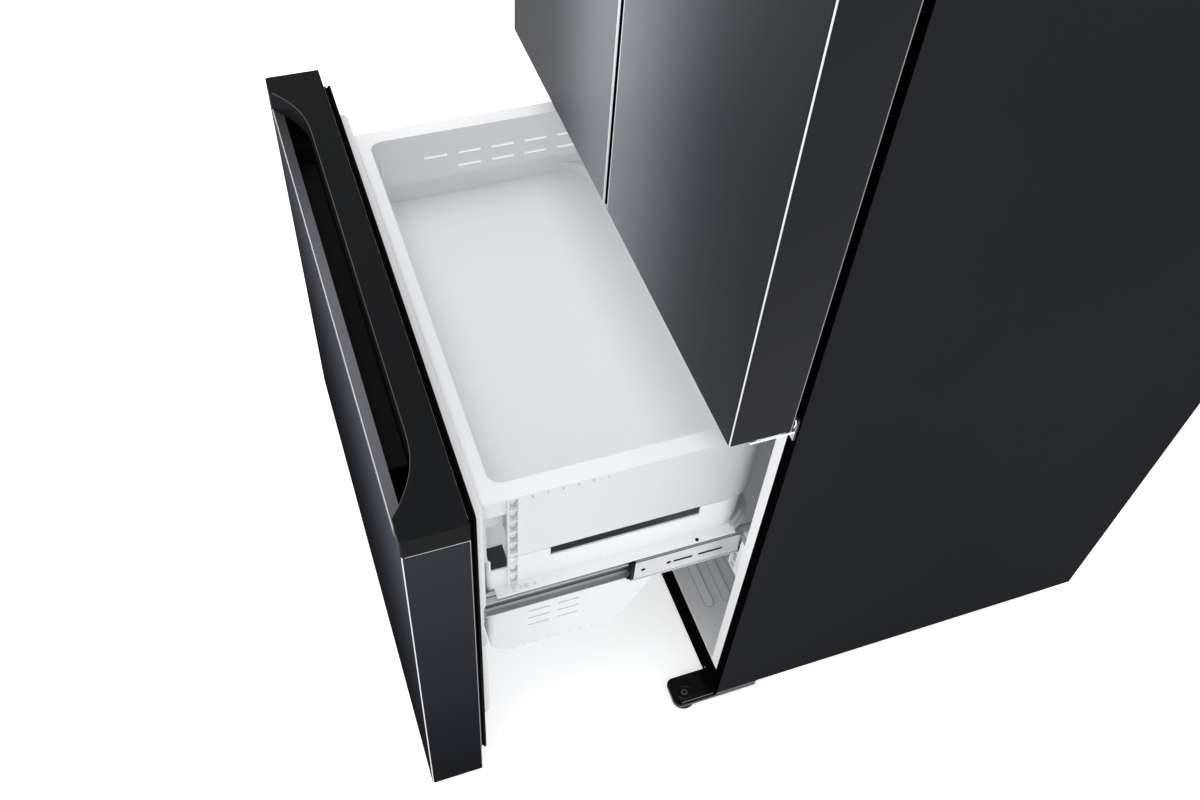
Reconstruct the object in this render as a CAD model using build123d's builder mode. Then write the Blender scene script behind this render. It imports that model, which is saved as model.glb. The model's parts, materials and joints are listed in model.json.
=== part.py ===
from build123d import *
import os
from math import cos, pi, sin

os.makedirs("parts", exist_ok=True)

# A refrigerator with two upper doors and one freezer drawer below, shown with its drawer pulled out.
# +X is its right side as one faces it, the doors face -Y, and +Z is up from the floor at z = 0.
# The origin is the centre of the footprint with the drawer out, on the floor.  Millimetres.

# ---- Cabinet ----
case_width = 832
case_depth = 677
case_bottom = 30  # underside of the side panels, above the floor
case_top = 1748
sheet = 1.0  # case, door and rear panel steel
case_flange = 19  # front flange of the case, seen from the front
top_flange = 29
liner_flange = 19  # white front flange of each liner
liner_wall = 2.5
cavity_half = case_width / 2 - case_flange - liner_flange  # inner face of both liners

# ---- Freezer compartment ----
freezer_floor = 80
freezer_top = 690
freezer_depth = 577
hump_foot = 395  # where the floor ends and the step over the machine room begins
hump_rise = 35
hump_top = 335
floor_rib_start = 26
floor_rib_pitch = 33
floor_rib_width = 16
floor_rib_inset = 86  # ends of the ribs, in from the liner's sides
floor_rib_height = 1.5

# ---- Fridge compartment ----
fridge_floor = 770
fridge_top = 1700
fridge_depth = 590

# ---- Machine room ----
machine_depth = 217
machine_top = 290
pan_thickness = 1.5

# ---- Base and feet ----
rail_foot = 12  # lowest edge of the front base rail
rail_depth = 25
rail_sheet = 1.5
bracket_reach = 70  # leg bracket ahead of the case front, and behind it
bracket_width = 50
bracket_thickness = 7  # height of the bracket's turned-down rim
bracket_sheet = 3
bracket_top = 22
foot_radius = 19
foot_height = 9
foot_forward = 48
foot_inset = 20  # foot's axis, in from the case side
stud_radius = 5
stud_proud = 2.5  # stud end above its bracket
collar_radius = 9
roller_radius = 20
roller_width = 22
roller_inset = 76  # roller's middle, in from the case side
roller_from_back = 70
axle_radius = 4
running_gap = 0.08  # radial clearance of shafts and pins
face_gap = 0.3  # clearance between bodies that slide or turn past each other

# ---- Doors ----
door_front = 90  # front plane of doors and drawer, ahead of the case front
door_depth = 78
door_bottom = 739
door_top = 1746
door_gap = 5
door_edge_radius = 4
skin_return = 12
cap_height = 26
liner_reach = 50  # how far the door liner's frame reaches behind its plate
frame_wall = 14
gasket_width = 20
gasket_inset = 16  # outer edge of the gasket, in from the case side
pin_inset = 14  # hinge pins, in from the case side
pin_forward = 48
pin_radius = 5
hinge_plate = 4
cover_height = 30
bin_depth = 105
door_bin_radius = 20
bin_wall = 2.5

# ---- Freezer drawer ----
drawer_open = 380  # pulled out this far in this pose
drawer_bottom = 27
drawer_steel_top = 687
trim_height = 32
lip = 14  # steel returned over the grip
grip_inset = 31  # ends of the grip notch at the front, in from the case side
grip_sweep = 110  # how far in from there its straight back edge starts
grip_depth = 41.5
trough_depth = 42
bulge_inset = 10  # bulge of the drawer's liner, in from its gasket
bulge_bottom = 120
bulge_top = 668
bulge_reach = 16
drawer_gasket_bottom = 58
drawer_gasket_top = 705

# ---- Lower bin and upper tray ----
bin_front = 24
bin_bottom = 254
bin_base_end = 215
bin_step = 425
bin_step_start = 300
bin_back = 392
bin_top = 502.5
bin_radii = [34, 34, 20, 30]  # front foot, rear foot, under the step, rear of the step
ledge_top = 439.5
ledge_thickness = 3
bin_corner = 42  # rear corners in plan
window_start = 108
window_end = 317
window_height = 18
tray_inset = 33  # tray's side, in from the freezer liner
tray_rim_reach = 3.5
tray_rim_width = 25
tray_top = 643
tray_front = 17
tray_back = 405
tray_ledge = 553
post_start = 50  # ribbed post behind the side opening
post_depth = 13
post_ribs = 8

# ---- Telescopic rails ----
rail_wall = 1.5
rail_low = 380
rail_high = 436
rail_inset = 15  # inner face of the fixed member's web, in from the freezer liner
rail_step = 0.5 + rail_wall  # from one member to the next
rail_depth_x = 9
rail_start = 3
rail_length = 502

# ---- Places worked out from the sizes above ----
case_half = case_width / 2
inner_half = case_half - sheet
mouth = case_half - case_flange  # half width inside the front flange
case_front = (door_front + drawer_open - case_depth) / 2
case_back = case_front + case_depth
door_face = case_front - door_front
door_rear = door_face + door_depth
pulled = case_front - drawer_open  # the plane on the drawer that meets case_front when it is shut
drawer_face = pulled - door_front
drawer_rear = drawer_face + door_depth
plate_rear = liner_wall  # thickness of the plates that carry the gaskets
gasket_depth = door_front - door_depth - plate_rear - face_gap
foam_front = case_front + liner_wall
machine_front = case_back - machine_depth
pin_x = case_half - pin_inset
pin_y = case_front - pin_forward
foot_x = case_half - foot_inset
foot_y = case_front - foot_forward
trim_top = drawer_steel_top + trim_height
grip_half = case_half - grip_inset
grip_back_half = grip_half - grip_sweep
trough_half = grip_back_half + 25
bulge_half = case_half - gasket_inset - gasket_width - bulge_inset
rail_web = cavity_half - rail_inset
fixed_tip = rail_web - rail_depth_x
middle_web = rail_web - rail_step
middle_tip = middle_web - rail_depth_x
inner_web = middle_tip - 2.5
inner_tip = middle_web - 2
bin_half = inner_web - rail_wall - 2
ledge_half = middle_web
hook_in = bin_half + 2  # inner face of the rail brackets' hooks
hook_low = rail_low - 45  # level with the step of the freezer liner, where the rear brackets stand
hook_high = rail_low - 22
hook_length = 14
tray_half = cavity_half - tray_inset
tray_rim_half = tray_half + tray_rim_reach
sides = ((-1, "left"), (1, "right"))


def block(x0, x1, y0, y1, z0, z1, mode=Mode.ADD):
    """A box between two corners, in any order."""
    with Locations(((x0 + x1) / 2, (y0 + y1) / 2, (z0 + z1) / 2)):
        Box(abs(x1 - x0), abs(y1 - y0), abs(z1 - z0), mode=mode)


def rod(radius, start, end, mode=Mode.ADD):
    """A round bar from one point to another."""
    along = Vector(*end) - Vector(*start)
    with Locations(Plane(origin=start, z_dir=along).location):
        Cylinder(radius, along.length, align=(Align.CENTER, Align.CENTER, Align.MIN), mode=mode)


def gasket(half, low, high, y0, centre=0):
    """Bellows gasket: a foot, a narrower bellows and a magnet head, all round."""
    foot = gasket_depth * 0.25
    head = gasket_depth * 0.7
    outer = ((half, 0, foot), (half - 2, foot, head), (half, head, gasket_depth))
    for reach, start, end in outer:
        grow = reach - half
        block(centre - reach, centre + reach, y0 + start, y0 + end, low - grow, high + grow)
    hole = half - gasket_width
    block(
        centre - hole, centre + hole, y0, y0 + gasket_depth,
        low + gasket_width, high - gasket_width, Mode.SUBTRACT,
    )


def skin_section(x0, x1, y0, y1, low):
    """Plan of a folded steel door skin at its foot: front, two sides and two rear returns."""
    with BuildSketch(Plane.XY.offset(low)) as section:
        with Locations(((x0 + x1) / 2, (y0 + y1) / 2)):
            Rectangle(abs(x1 - x0), y1 - y0)
        fillet(section.vertices().group_by(Axis.Y)[0], door_edge_radius)
        offset(amount=-sheet, mode=Mode.SUBTRACT)
        with Locations(((x0 + x1) / 2, y1 - sheet / 2)):
            Rectangle(abs(x1 - x0) - 2 * skin_return, sheet, mode=Mode.SUBTRACT)
    return section.sketch


def freezer_section(grow):
    """Side section of the freezer compartment, grown by the liner's wall where asked."""
    with BuildSketch(Plane.YZ) as section:
        with BuildLine():
            Polyline(
                (case_front, freezer_floor),
                (case_front + hump_foot, freezer_floor),
                (case_front + hump_foot + hump_rise, hump_top),
                (case_front + freezer_depth, hump_top),
                (case_front + freezer_depth, freezer_top),
                (case_front, freezer_top),
                close=True,
            )
        make_face()
        if grow:
            offset(amount=grow, kind=Kind.INTERSECTION)
    return section.sketch


def fridge_hollow(grow, mode):
    """The fridge compartment's space, grown by the liner's wall where asked."""
    block(
        -cavity_half - grow, cavity_half + grow, case_front - grow, case_front + fridge_depth + grow,
        fridge_floor - grow, fridge_top + grow, mode,
    )


# ---- Outer case: one steel wrap over the sides and top, with a front flange ----
with BuildPart() as outer_case:
    block(-case_half, case_half, case_front, case_back, case_bottom, case_top)
    block(
        -inner_half, inner_half, case_front + sheet, case_back + sheet,
        case_bottom - sheet, case_top - sheet, Mode.SUBTRACT,
    )
    block(
        -mouth, mouth, case_front - sheet, case_front + 2 * sheet,
        case_bottom - sheet, case_top - top_flange, Mode.SUBTRACT,
    )
outer_case.part.label = "outer_case"
export_step(outer_case.part, "parts/outer_case.step")

# ---- Rear panel, with stiffening beads ----
with BuildPart() as rear_panel:
    block(-inner_half, inner_half, case_back - sheet, case_back, machine_top, case_top - sheet)
    bead_low = machine_top + 60
    bead_high = case_top - 60
    for bead in (-2, -1, 0, 1, 2):
        bead_x = bead * case_width / 6
        block(
            bead_x - 12, bead_x + 12, case_back - 0.4, case_back, bead_low, bead_high, Mode.SUBTRACT
        )
rear_panel.part.label = "rear_panel"
export_step(rear_panel.part, "parts/rear_panel.step")

# ---- Base pan, with roller windows and their ears ----
pan_front = case_front + rail_depth
pan_top = case_bottom + pan_thickness
roller_y = case_back - roller_from_back
ear_gap = roller_width / 2 + 1
ear_thickness = 3
axle_end = ear_gap + ear_thickness
with BuildPart() as base_pan:
    block(-inner_half, inner_half, pan_front, case_back - sheet, case_bottom, pan_top)
    lip_front = case_back - sheet - pan_thickness
    block(-inner_half, inner_half, lip_front, case_back - sheet, case_bottom, pan_top + 12)
    for side, hand in sides:
        wheel_x = side * (case_half - roller_inset)
        block(
            wheel_x - ear_gap, wheel_x + ear_gap,
            roller_y - roller_radius - 4, roller_y + roller_radius + 4,
            case_bottom - 1, pan_top + 1, Mode.SUBTRACT,
        )
        for ear in (-1, 1):
            near = wheel_x + ear * ear_gap
            far = wheel_x + ear * axle_end
            block(near, far, roller_y - 14, roller_y + 14, roller_radius - 9, case_bottom + 1)
        rod(
            axle_radius, (wheel_x - axle_end, roller_y, roller_radius),
            (wheel_x + axle_end, roller_y, roller_radius), Mode.SUBTRACT,
        )
base_pan.part.label = "base_pan"
export_step(base_pan.part, "parts/base_pan.step")

# ---- Roller axles ----
with BuildPart() as roller_axles:
    for side, hand in sides:
        wheel_x = side * (case_half - roller_inset)
        rod(
            axle_radius, (wheel_x - axle_end, roller_y, roller_radius),
            (wheel_x + axle_end, roller_y, roller_radius),
        )
roller_axles.part.label = "roller_axles"
export_step(roller_axles.part, "parts/roller_axles.step")

# ---- Rear rollers ----
for side, hand in sides:
    wheel_x = side * (case_half - roller_inset)
    wheel_start = (wheel_x - roller_width / 2, roller_y, roller_radius)
    wheel_end = (wheel_x + roller_width / 2, roller_y, roller_radius)
    with BuildPart() as roller:
        rod(roller_radius, wheel_start, wheel_end)
        chamfer(roller.edges().filter_by(GeomType.CIRCLE), 1.5)
        rod(axle_radius + running_gap, wheel_start, wheel_end, Mode.SUBTRACT)
    roller.part.label = f"roller_{hand}"
    export_step(roller.part, f"parts/roller_{hand}.step")

# ---- Front base rail: a black channel under the freezer opening ----
with BuildPart() as front_base_rail:
    block(-mouth, mouth, case_front, case_front + rail_depth, rail_foot, freezer_floor - liner_wall)
    block(
        -mouth, mouth, case_front + rail_sheet, case_front + rail_depth,
        rail_foot + rail_sheet, freezer_floor - liner_wall - rail_sheet, Mode.SUBTRACT,
    )
    for side, hand in sides:
        notch = side * (case_half - bracket_width - 1)
        block(
            notch, side * case_half, case_front - 1, case_front + rail_depth + 1,
            rail_foot - 1, case_bottom, Mode.SUBTRACT,
        )
front_base_rail.part.label = "front_base_rail"
export_step(front_base_rail.part, "parts/front_base_rail.step")

# ---- Divider rail between the two openings ----
divider_low = freezer_top + liner_flange
divider_high = fridge_floor - liner_flange
divider_depth = 20
with BuildPart() as divider_rail:
    block(
        -mouth, mouth, case_front, case_front + divider_depth, divider_low, divider_high
    )
divider_rail.part.label = "divider_rail"
export_step(divider_rail.part, "parts/divider_rail.step")

# ---- Freezer liner: a white shell with a ribbed floor ----
with BuildPart() as freezer_liner:
    extrude(freezer_section(liner_wall), amount=cavity_half + liner_wall, both=True)
    extrude(freezer_section(0), amount=cavity_half, both=True, mode=Mode.SUBTRACT)
    block(
        -case_half, case_half, case_front - 2 * liner_wall, case_front,
        freezer_floor - 10, freezer_top + 10, Mode.SUBTRACT,
    )
    for side, hand in sides:
        block(
            side * cavity_half, side * mouth, case_front, foam_front,
            freezer_floor - liner_wall, divider_low,
        )
    block(-cavity_half, cavity_half, case_front, foam_front, freezer_top, divider_low)
    rib_count = int((hump_foot - floor_rib_start) / floor_rib_pitch)
    ribs_depth = (rib_count - 1) * floor_rib_pitch + floor_rib_width
    with BuildSketch(Plane.XY.offset(freezer_floor)) as ribs:
        with Locations((0, case_front + floor_rib_start + ribs_depth / 2)):
            with GridLocations(1, floor_rib_pitch, 1, rib_count):
                SlotOverall(2 * (cavity_half - floor_rib_inset), floor_rib_width)
    extrude(amount=floor_rib_height)
freezer_liner.part.label = "freezer_liner"
export_step(freezer_liner.part, "parts/freezer_liner.step")

# ---- Fridge liner, with the wall grooves that guide the crisper cover ----
with BuildPart() as fridge_liner:
    fridge_hollow(liner_wall, Mode.ADD)
    fridge_hollow(0, Mode.SUBTRACT)
    block(
        -case_half, case_half, case_front - 2 * liner_wall, case_front,
        fridge_floor - 10, fridge_top + 10, Mode.SUBTRACT,
    )
    block(-mouth, mouth, case_front, foam_front, divider_high, case_top - top_flange)
    block(
        -cavity_half, cavity_half, case_front, foam_front, fridge_floor, fridge_top, Mode.SUBTRACT
    )
fridge_liner.part.label = "fridge_liner"
export_step(fridge_liner.part, "parts/fridge_liner.step")

# ---- Cabinet foam, around both liners and over the machine room ----
with BuildPart() as cabinet_foam:
    block(-inner_half, inner_half, foam_front, case_back - sheet, pan_top, case_top - sheet)
    extrude(
        freezer_section(liner_wall), amount=cavity_half + liner_wall, both=True, mode=Mode.SUBTRACT
    )
    fridge_hollow(liner_wall, Mode.SUBTRACT)
    block(
        -inner_half, inner_half, machine_front, case_back, pan_top, machine_top, Mode.SUBTRACT
    )
    block(
        -inner_half, inner_half, foam_front, pan_front, pan_top,
        freezer_floor - liner_wall, Mode.SUBTRACT,
    )
    block(
        -mouth, mouth, foam_front, case_front + divider_depth, divider_low, divider_high,
        Mode.SUBTRACT,
    )
cabinet_foam.part.label = "cabinet_foam"
export_step(cabinet_foam.part, "parts/cabinet_foam.step")

# ---- Machine room cover, with louvres and the hole where the supply lead leaves ----
louvre_rows = 9
louvre_pitch = 20
louvre_low = 95
louvre_half = 75
louvre_middle = inner_half - 215
lead_hole = 7
lead_x = -inner_half + 85
lead_z = 70
with BuildPart() as machine_cover:
    block(
        -inner_half, inner_half, case_back - sheet, case_back, case_bottom, machine_top
    )
    for row in range(louvre_rows):
        louvre_z = louvre_low + row * louvre_pitch
        for middle in (-louvre_middle, 0, louvre_middle):
            block(
                middle - louvre_half, middle + louvre_half, case_back - 2, case_back + 1,
                louvre_z - 3, louvre_z + 3, Mode.SUBTRACT,
            )
    lead_start = (lead_x, case_back - 2, lead_z)
    lead_end = (lead_x, case_back + 1, lead_z)
    rod(lead_hole, lead_start, lead_end, Mode.SUBTRACT)
machine_cover.part.label = "machine_cover"
export_step(machine_cover.part, "parts/machine_cover.step")

# ---- Compressor: a welded shell on a base plate and four rubber grommets ----
compressor_x = inner_half - 205
compressor_y = (machine_front + case_back) / 2
shell_radius = 78
grommet_height = 12
with BuildPart() as compressor:
    plate_low = pan_top + grommet_height
    block(
        compressor_x - 95, compressor_x + 95, compressor_y - 70, compressor_y + 70,
        plate_low, plate_low + 3,
    )
    for dx in (-80, 80):
        for dy in (-55, 55):
            foot_place = (compressor_x + dx, compressor_y + dy, pan_top)
            rod(11, foot_place, (compressor_x + dx, compressor_y + dy, plate_low))
    with BuildSketch(Plane.XY.offset(plate_low + 3)):
        with Locations((compressor_x, compressor_y)):
            Ellipse(shell_radius + 12, shell_radius)
    extrude(amount=150)
    fillet(compressor.faces().sort_by(Axis.Z)[-1].edges(), 45)
    rod(
        6, (compressor_x - 40, compressor_y, plate_low + 140),
        (compressor_x - 40, compressor_y, plate_low + 185),
    )
compressor.part.label = "compressor"
export_step(compressor.part, "parts/compressor.step")

# ---- Condenser: six tube runs through a stack of plates ----
condenser_fan_x = compressor_x - 190
condenser_x0 = -inner_half + 110
condenser_x1 = condenser_fan_x - 145
condenser_height = 150
fin_count = 16
with BuildPart() as condenser:
    fin_gap = (condenser_x1 - condenser_x0) / (fin_count - 1)
    for fin in range(fin_count):
        fin_x = condenser_x0 + fin * fin_gap
        block(
            fin_x - 0.5, fin_x + 0.5, compressor_y - 60, compressor_y + 60,
            pan_top, pan_top + condenser_height,
        )
    for dy in (-40, 0, 40):
        for tube_z in (pan_top + 40, pan_top + 110):
            tube_start = (condenser_x0 - 10, compressor_y + dy, tube_z)
            tube_end = (condenser_x1 + 10, compressor_y + dy, tube_z)
            rod(4, tube_start, tube_end)
condenser.part.label = "condenser"
export_step(condenser.part, "parts/condenser.step")

# ---- Evaporator cover: the freezer's rear wall, with air slots and the fan hole ----
cover_front = case_front + freezer_depth - 50
cover_sheet = 3
freezer_fan_z = 560
fan_radius = 52
air_half = cavity_half - 78  # outer ends of the air slots and of the coil behind them
with BuildPart() as evaporator_cover:
    block(
        -cavity_half, cavity_half, cover_front, cover_front + cover_sheet, hump_top, freezer_top
    )
    rod(
        fan_radius + 4, (0, cover_front - 1, freezer_fan_z),
        (0, cover_front + cover_sheet + 1, freezer_fan_z), Mode.SUBTRACT,
    )
    for row in range(4):
        for side, hand in sides:
            slot_z = hump_top + 30 + row * 16
            block(
                side * 60, side * air_half, cover_front - 1, cover_front + cover_sheet + 1,
                slot_z - 3, slot_z + 3, Mode.SUBTRACT,
            )
evaporator_cover.part.label = "evaporator_cover"
export_step(evaporator_cover.part, "parts/evaporator_cover.step")

# ---- Evaporator: a finned coil standing on the step behind the cover ----
coil_front = cover_front + cover_sheet + 12
coil_fins = 21
coil_height = 150
with BuildPart() as evaporator:
    for fin in range(coil_fins):
        fin_x = -air_half + fin * 2 * air_half / (coil_fins - 1)
        block(
            fin_x - 0.5, fin_x + 0.5, coil_front, coil_front + 25,
            hump_top, hump_top + coil_height,
        )
    for run in range(4):
        run_z = hump_top + 20 + run * 36
        run_y = coil_front + 12.5
        rod(4, (-air_half - 20, run_y, run_z), (air_half + 20, run_y, run_z))
evaporator.part.label = "evaporator"
export_step(evaporator.part, "parts/evaporator.step")


def fan_wheel(hub, span, thickness):
    """Axial fan in the part in hand: a bored hub and five pitched blades along +Y."""
    x, y, z = hub
    rod(16, (x, y, z), (x, y + thickness, z))
    for blade in range(5):
        angle = blade * 2 * pi / 5
        middle = (16 + span) / 2
        place = Location(
            (x + middle * cos(angle), y + thickness / 2, z + middle * sin(angle)),
            (0, -angle * 180 / pi, 0),
        )
        with Locations(place * Location((0, 0, 0), (28, 0, 0))):
            Box(span - 14, 2, 30)
    rod(3 + running_gap, (x, y - 1, z), (x, y + thickness + 1, z), Mode.SUBTRACT)


# ---- Fans and their motors ----
fan_thickness = 14
freezer_hub = (0, cover_front - 6, freezer_fan_z)
condenser_fan_z = 150
condenser_hub = (condenser_fan_x, compressor_y - fan_thickness, condenser_fan_z)
with BuildPart() as evaporator_fan:
    fan_wheel(freezer_hub, fan_radius, fan_thickness)
evaporator_fan.part.label = "evaporator_fan"
export_step(evaporator_fan.part, "parts/evaporator_fan.step")

with BuildPart() as condenser_fan:
    fan_wheel(condenser_hub, fan_radius + 18, fan_thickness)
condenser_fan.part.label = "condenser_fan"
export_step(condenser_fan.part, "parts/condenser_fan.step")

with BuildPart() as fan_motors:
    x, y, z = freezer_hub
    motor_y = y + fan_thickness + 1
    liner_back = case_front + freezer_depth
    rod(22, (x, motor_y, z), (x, liner_back, z))
    rod(3, (x, y, z), (x, motor_y, z))
    x, y, z = condenser_hub
    motor_y = y + fan_thickness + 1
    rod(24, (x, motor_y, z), (x, motor_y + 36, z))
    rod(3, (x, y, z), (x, motor_y, z))
    block(x - 30, x + 30, motor_y + 30, motor_y + 33, pan_top, z + 30)
    block(x - 30, x + 30, motor_y + 10, motor_y + 50, pan_top, pan_top + 3)
fan_motors.part.label = "fan_motors"
export_step(fan_motors.part, "parts/fan_motors.step")

# ---- Leg brackets: a rounded plate ahead of the case, with a tail under it ----
bracket_low = bracket_top - bracket_thickness
bracket_y0 = case_front - bracket_reach
bracket_y1 = case_front + bracket_reach
with BuildPart() as leg_brackets:
    for side, hand in sides:
        outer = side * case_half
        inner = side * (case_half - bracket_width)
        with BuildSketch(Plane.XY.offset(bracket_low)) as bracket_plan:
            with Locations(((inner + outer) / 2, (bracket_y0 + bracket_y1) / 2)):
                Rectangle(bracket_width, bracket_y1 - bracket_y0)
            fillet(bracket_plan.vertices().group_by(Axis.Y)[0], 12)
        extrude(amount=bracket_thickness)
    fillet(leg_brackets.faces().sort_by(Axis.Z)[-2:].edges().group_by(Axis.Y)[0], 1.5)
    for side, hand in sides:
        outer = side * case_half
        inner = side * (case_half - bracket_width)
        block(inner, outer, case_front, bracket_y1, bracket_top, case_bottom)
        block(
            inner + side * bracket_sheet, outer - side * bracket_sheet,
            bracket_y0 + bracket_sheet, bracket_y1 - bracket_sheet,
            bracket_low, bracket_top - bracket_sheet, Mode.SUBTRACT,
        )
        boss = (side * foot_x, foot_y, bracket_low)
        rod(collar_radius, boss, (side * foot_x, foot_y, bracket_top))
        rod(
            stud_radius + running_gap, (side * foot_x, foot_y, bracket_low - 1),
            (side * foot_x, foot_y, bracket_top + 1), Mode.SUBTRACT,
        )
leg_brackets.part.label = "leg_brackets"
export_step(leg_brackets.part, "parts/leg_brackets.step")

# ---- Levelling feet: a serrated pad on a threaded stud ----
serrations = 24
for side, hand in sides:
    centre = (side * foot_x, foot_y)
    with BuildPart() as leveling_foot:
        rod(foot_radius, (*centre, 0), (*centre, foot_height))
        chamfer(leveling_foot.edges().filter_by(GeomType.CIRCLE).sort_by(Axis.Z)[0], 2)
        with BuildSketch(Plane.XY.offset(3)):
            with Locations(centre):
                with PolarLocations(foot_radius + 0.6, serrations):
                    Circle(1.9)
        extrude(amount=foot_height - 3, mode=Mode.SUBTRACT)
        rod(collar_radius, (*centre, foot_height), (*centre, bracket_low - face_gap))
        rod(stud_radius, (*centre, foot_height), (*centre, bracket_top + stud_proud))
        block(
            centre[0] - stud_radius, centre[0] + stud_radius, foot_y - 0.8, foot_y + 0.8,
            bracket_top + stud_proud - 1.5, bracket_top + stud_proud + 1, Mode.SUBTRACT,
        )
    leveling_foot.part.label = f"leveling_foot_{hand}"
    export_step(leveling_foot.part, f"parts/leveling_foot_{hand}.step")

# ---- Top hinges: a flat plate on the case, with a pin down into the door ----
screw_hole = 2.7
top_screws = ((26, 18), (26, 52), (62, 36))  # in from the pin's side, back from the case front
with BuildPart() as top_hinges:
    for side, hand in sides:
        with BuildSketch(Plane.XY.offset(case_top)):
            with BuildLine():
                Polyline(
                    (side * (pin_x + 10), pin_y - 10), (side * (pin_x + 10), case_front + 70),
                    (side * (pin_x - 80), case_front + 70), (side * (pin_x - 80), case_front + 12),
                    (side * (pin_x - 14), pin_y - 10), close=True,
                )
            make_face()
        extrude(amount=hinge_plate)
        pin_end = (side * pin_x, pin_y, door_top - cap_height + 4)
        rod(pin_radius, pin_end, (side * pin_x, pin_y, case_top))
        for inward, back in top_screws:
            hole_x = side * (pin_x - inward)
            hole_y = case_front + back
            rod(
                screw_hole, (hole_x, hole_y, case_top - 1),
                (hole_x, hole_y, case_top + hinge_plate + 1), Mode.SUBTRACT,
            )
top_hinges.part.label = "top_hinges"
export_step(top_hinges.part, "parts/top_hinges.step")

# ---- Hinge covers: hollow caps over the top hinges ----
with BuildPart() as hinge_covers:
    cover_wall = 3
    for side, hand in sides:
        cover_in = side * (pin_x - 92)
        cover_out = side * (case_half - 1)
        cover_y0 = pin_y - 20
        cover_y1 = case_front + 86
        cover_z = case_top + cover_height
        with BuildSketch(Plane.XY.offset(case_top)) as cap_plan:
            with Locations(((cover_in + cover_out) / 2, (cover_y0 + cover_y1) / 2)):
                RectangleRounded(abs(cover_out - cover_in), cover_y1 - cover_y0, 12)
        extrude(amount=cover_height, taper=3)
        block(
            cover_in + side * cover_wall, cover_out - side * cover_wall,
            cover_y0 + cover_wall, cover_y1 - cover_wall,
            case_top - 1, cover_z - cover_wall - 1, Mode.SUBTRACT,
        )
hinge_covers.part.label = "hinge_covers"
export_step(hinge_covers.part, "parts/hinge_covers.step")

# ---- Middle hinges: an angle on the divider rail, with a pin up into the door ----
step_low = trim_top + 7
angle_high = divider_high - 3
middle_screws = (18, 42)
with BuildPart() as middle_hinges:
    for side, hand in sides:
        block(
            side * (pin_x + 10), side * (pin_x - 60), pin_y - 12, case_front,
            step_low, step_low + hinge_plate,
        )
        block(
            side * (pin_x + 10), side * (pin_x - 60), case_front - 3, case_front,
            divider_low + 3, angle_high,
        )
        pin_foot = (side * pin_x, pin_y, step_low + hinge_plate)
        rod(pin_radius, pin_foot, (side * pin_x, pin_y, door_bottom + cap_height - 4))
        rod(9, pin_foot, (side * pin_x, pin_y, door_bottom - face_gap))
        for inward in middle_screws:
            hole_x = side * (pin_x - inward)
            rod(
                screw_hole, (hole_x, case_front - 4, step_low + 13),
                (hole_x, case_front + 1, step_low + 13), Mode.SUBTRACT,
            )
middle_hinges.part.label = "middle_hinges"
export_step(middle_hinges.part, "parts/middle_hinges.step")

# ---- Screws of the hinges and leg brackets: pan heads with short shanks ----
head_radius = 5.5
head_height = 3
with BuildPart() as screws:
    for side, hand in sides:
        for inward, back in top_screws:
            head_x = side * (pin_x - inward)
            head_y = case_front + back
            head_z = case_top + hinge_plate
            rod(head_radius, (head_x, head_y, head_z), (head_x, head_y, head_z + head_height))
            rod(screw_hole - 0.1, (head_x, head_y, case_top), (head_x, head_y, head_z))
        for inward in middle_screws:
            head_x = side * (pin_x - inward)
            head_z = step_low + 13
            head_y = case_front - 3
            rod(head_radius, (head_x, head_y, head_z), (head_x, head_y - head_height, head_z))
            rod(screw_hole - 0.1, (head_x, head_y, head_z), (head_x, case_front, head_z))
screws.part.label = "screws"
export_step(screws.part, "parts/screws.step")

# ---- Shelf ladders, shelves and their glass ----
ladder_y = case_front + fridge_depth
ladder_low = 1010
ladder_high = 1660
ladder_depth = 8
ladder_places = (135, cavity_half - 23)
with BuildPart() as shelf_ladders:
    for side, hand in sides:
        for place in ladder_places:
            x = side * place
            block(x - 8, x + 8, ladder_y - ladder_depth, ladder_y, ladder_low, ladder_high)
            rungs = int((ladder_high - ladder_low) / 30)
            for rung in range(rungs):
                slot_z = ladder_low + 15 + rung * 30
                block(
                    x - 3, x + 3, ladder_y - ladder_depth - 1, ladder_y - 2,
                    slot_z - 7, slot_z + 7, Mode.SUBTRACT,
                )
shelf_ladders.part.label = "shelf_ladders"
export_step(shelf_ladders.part, "parts/shelf_ladders.step")

shelf_levels = (1190, 1440)
shelf_front = case_front + 160
shelf_back = ladder_y - ladder_depth
duct_depth = 24
shelf_rear = ladder_y - duct_depth - 2  # rear edge of the shelf trim, ahead of the air duct
shelf_trim = 14
shelf_thickness = 16
glass_thickness = 4
shelf_in = 6
shelf_out = cavity_half - 4
with BuildPart() as shelf_frames:
    for side, hand in sides:
        for level in shelf_levels:
            block(
                side * shelf_in, side * shelf_out, shelf_front, shelf_rear,
                level, level + shelf_thickness,
            )
            block(
                side * (shelf_in + shelf_trim), side * (shelf_out - shelf_trim),
                shelf_front + shelf_trim, shelf_rear - shelf_trim,
                level - 1, level + shelf_thickness + 1, Mode.SUBTRACT,
            )
            block(
                side * (shelf_in + 8), side * (shelf_out - 8), shelf_front + 8, shelf_rear - 8,
                level + shelf_thickness - glass_thickness, level + shelf_thickness + 1,
                Mode.SUBTRACT,
            )
            for place in ladder_places:
                x = side * place
                block(x - 1.5, x + 1.5, shelf_back - 60, shelf_back, level - 30, level)
                block(x - 1.5, x + 1.5, shelf_rear - 4, shelf_back, level, level + 6)
                block(x - 1.5, x + 1.5, shelf_front + 30, shelf_back - 55, level - 12, level)
shelf_frames.part.label = "shelf_frames"
export_step(shelf_frames.part, "parts/shelf_frames.step")

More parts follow.
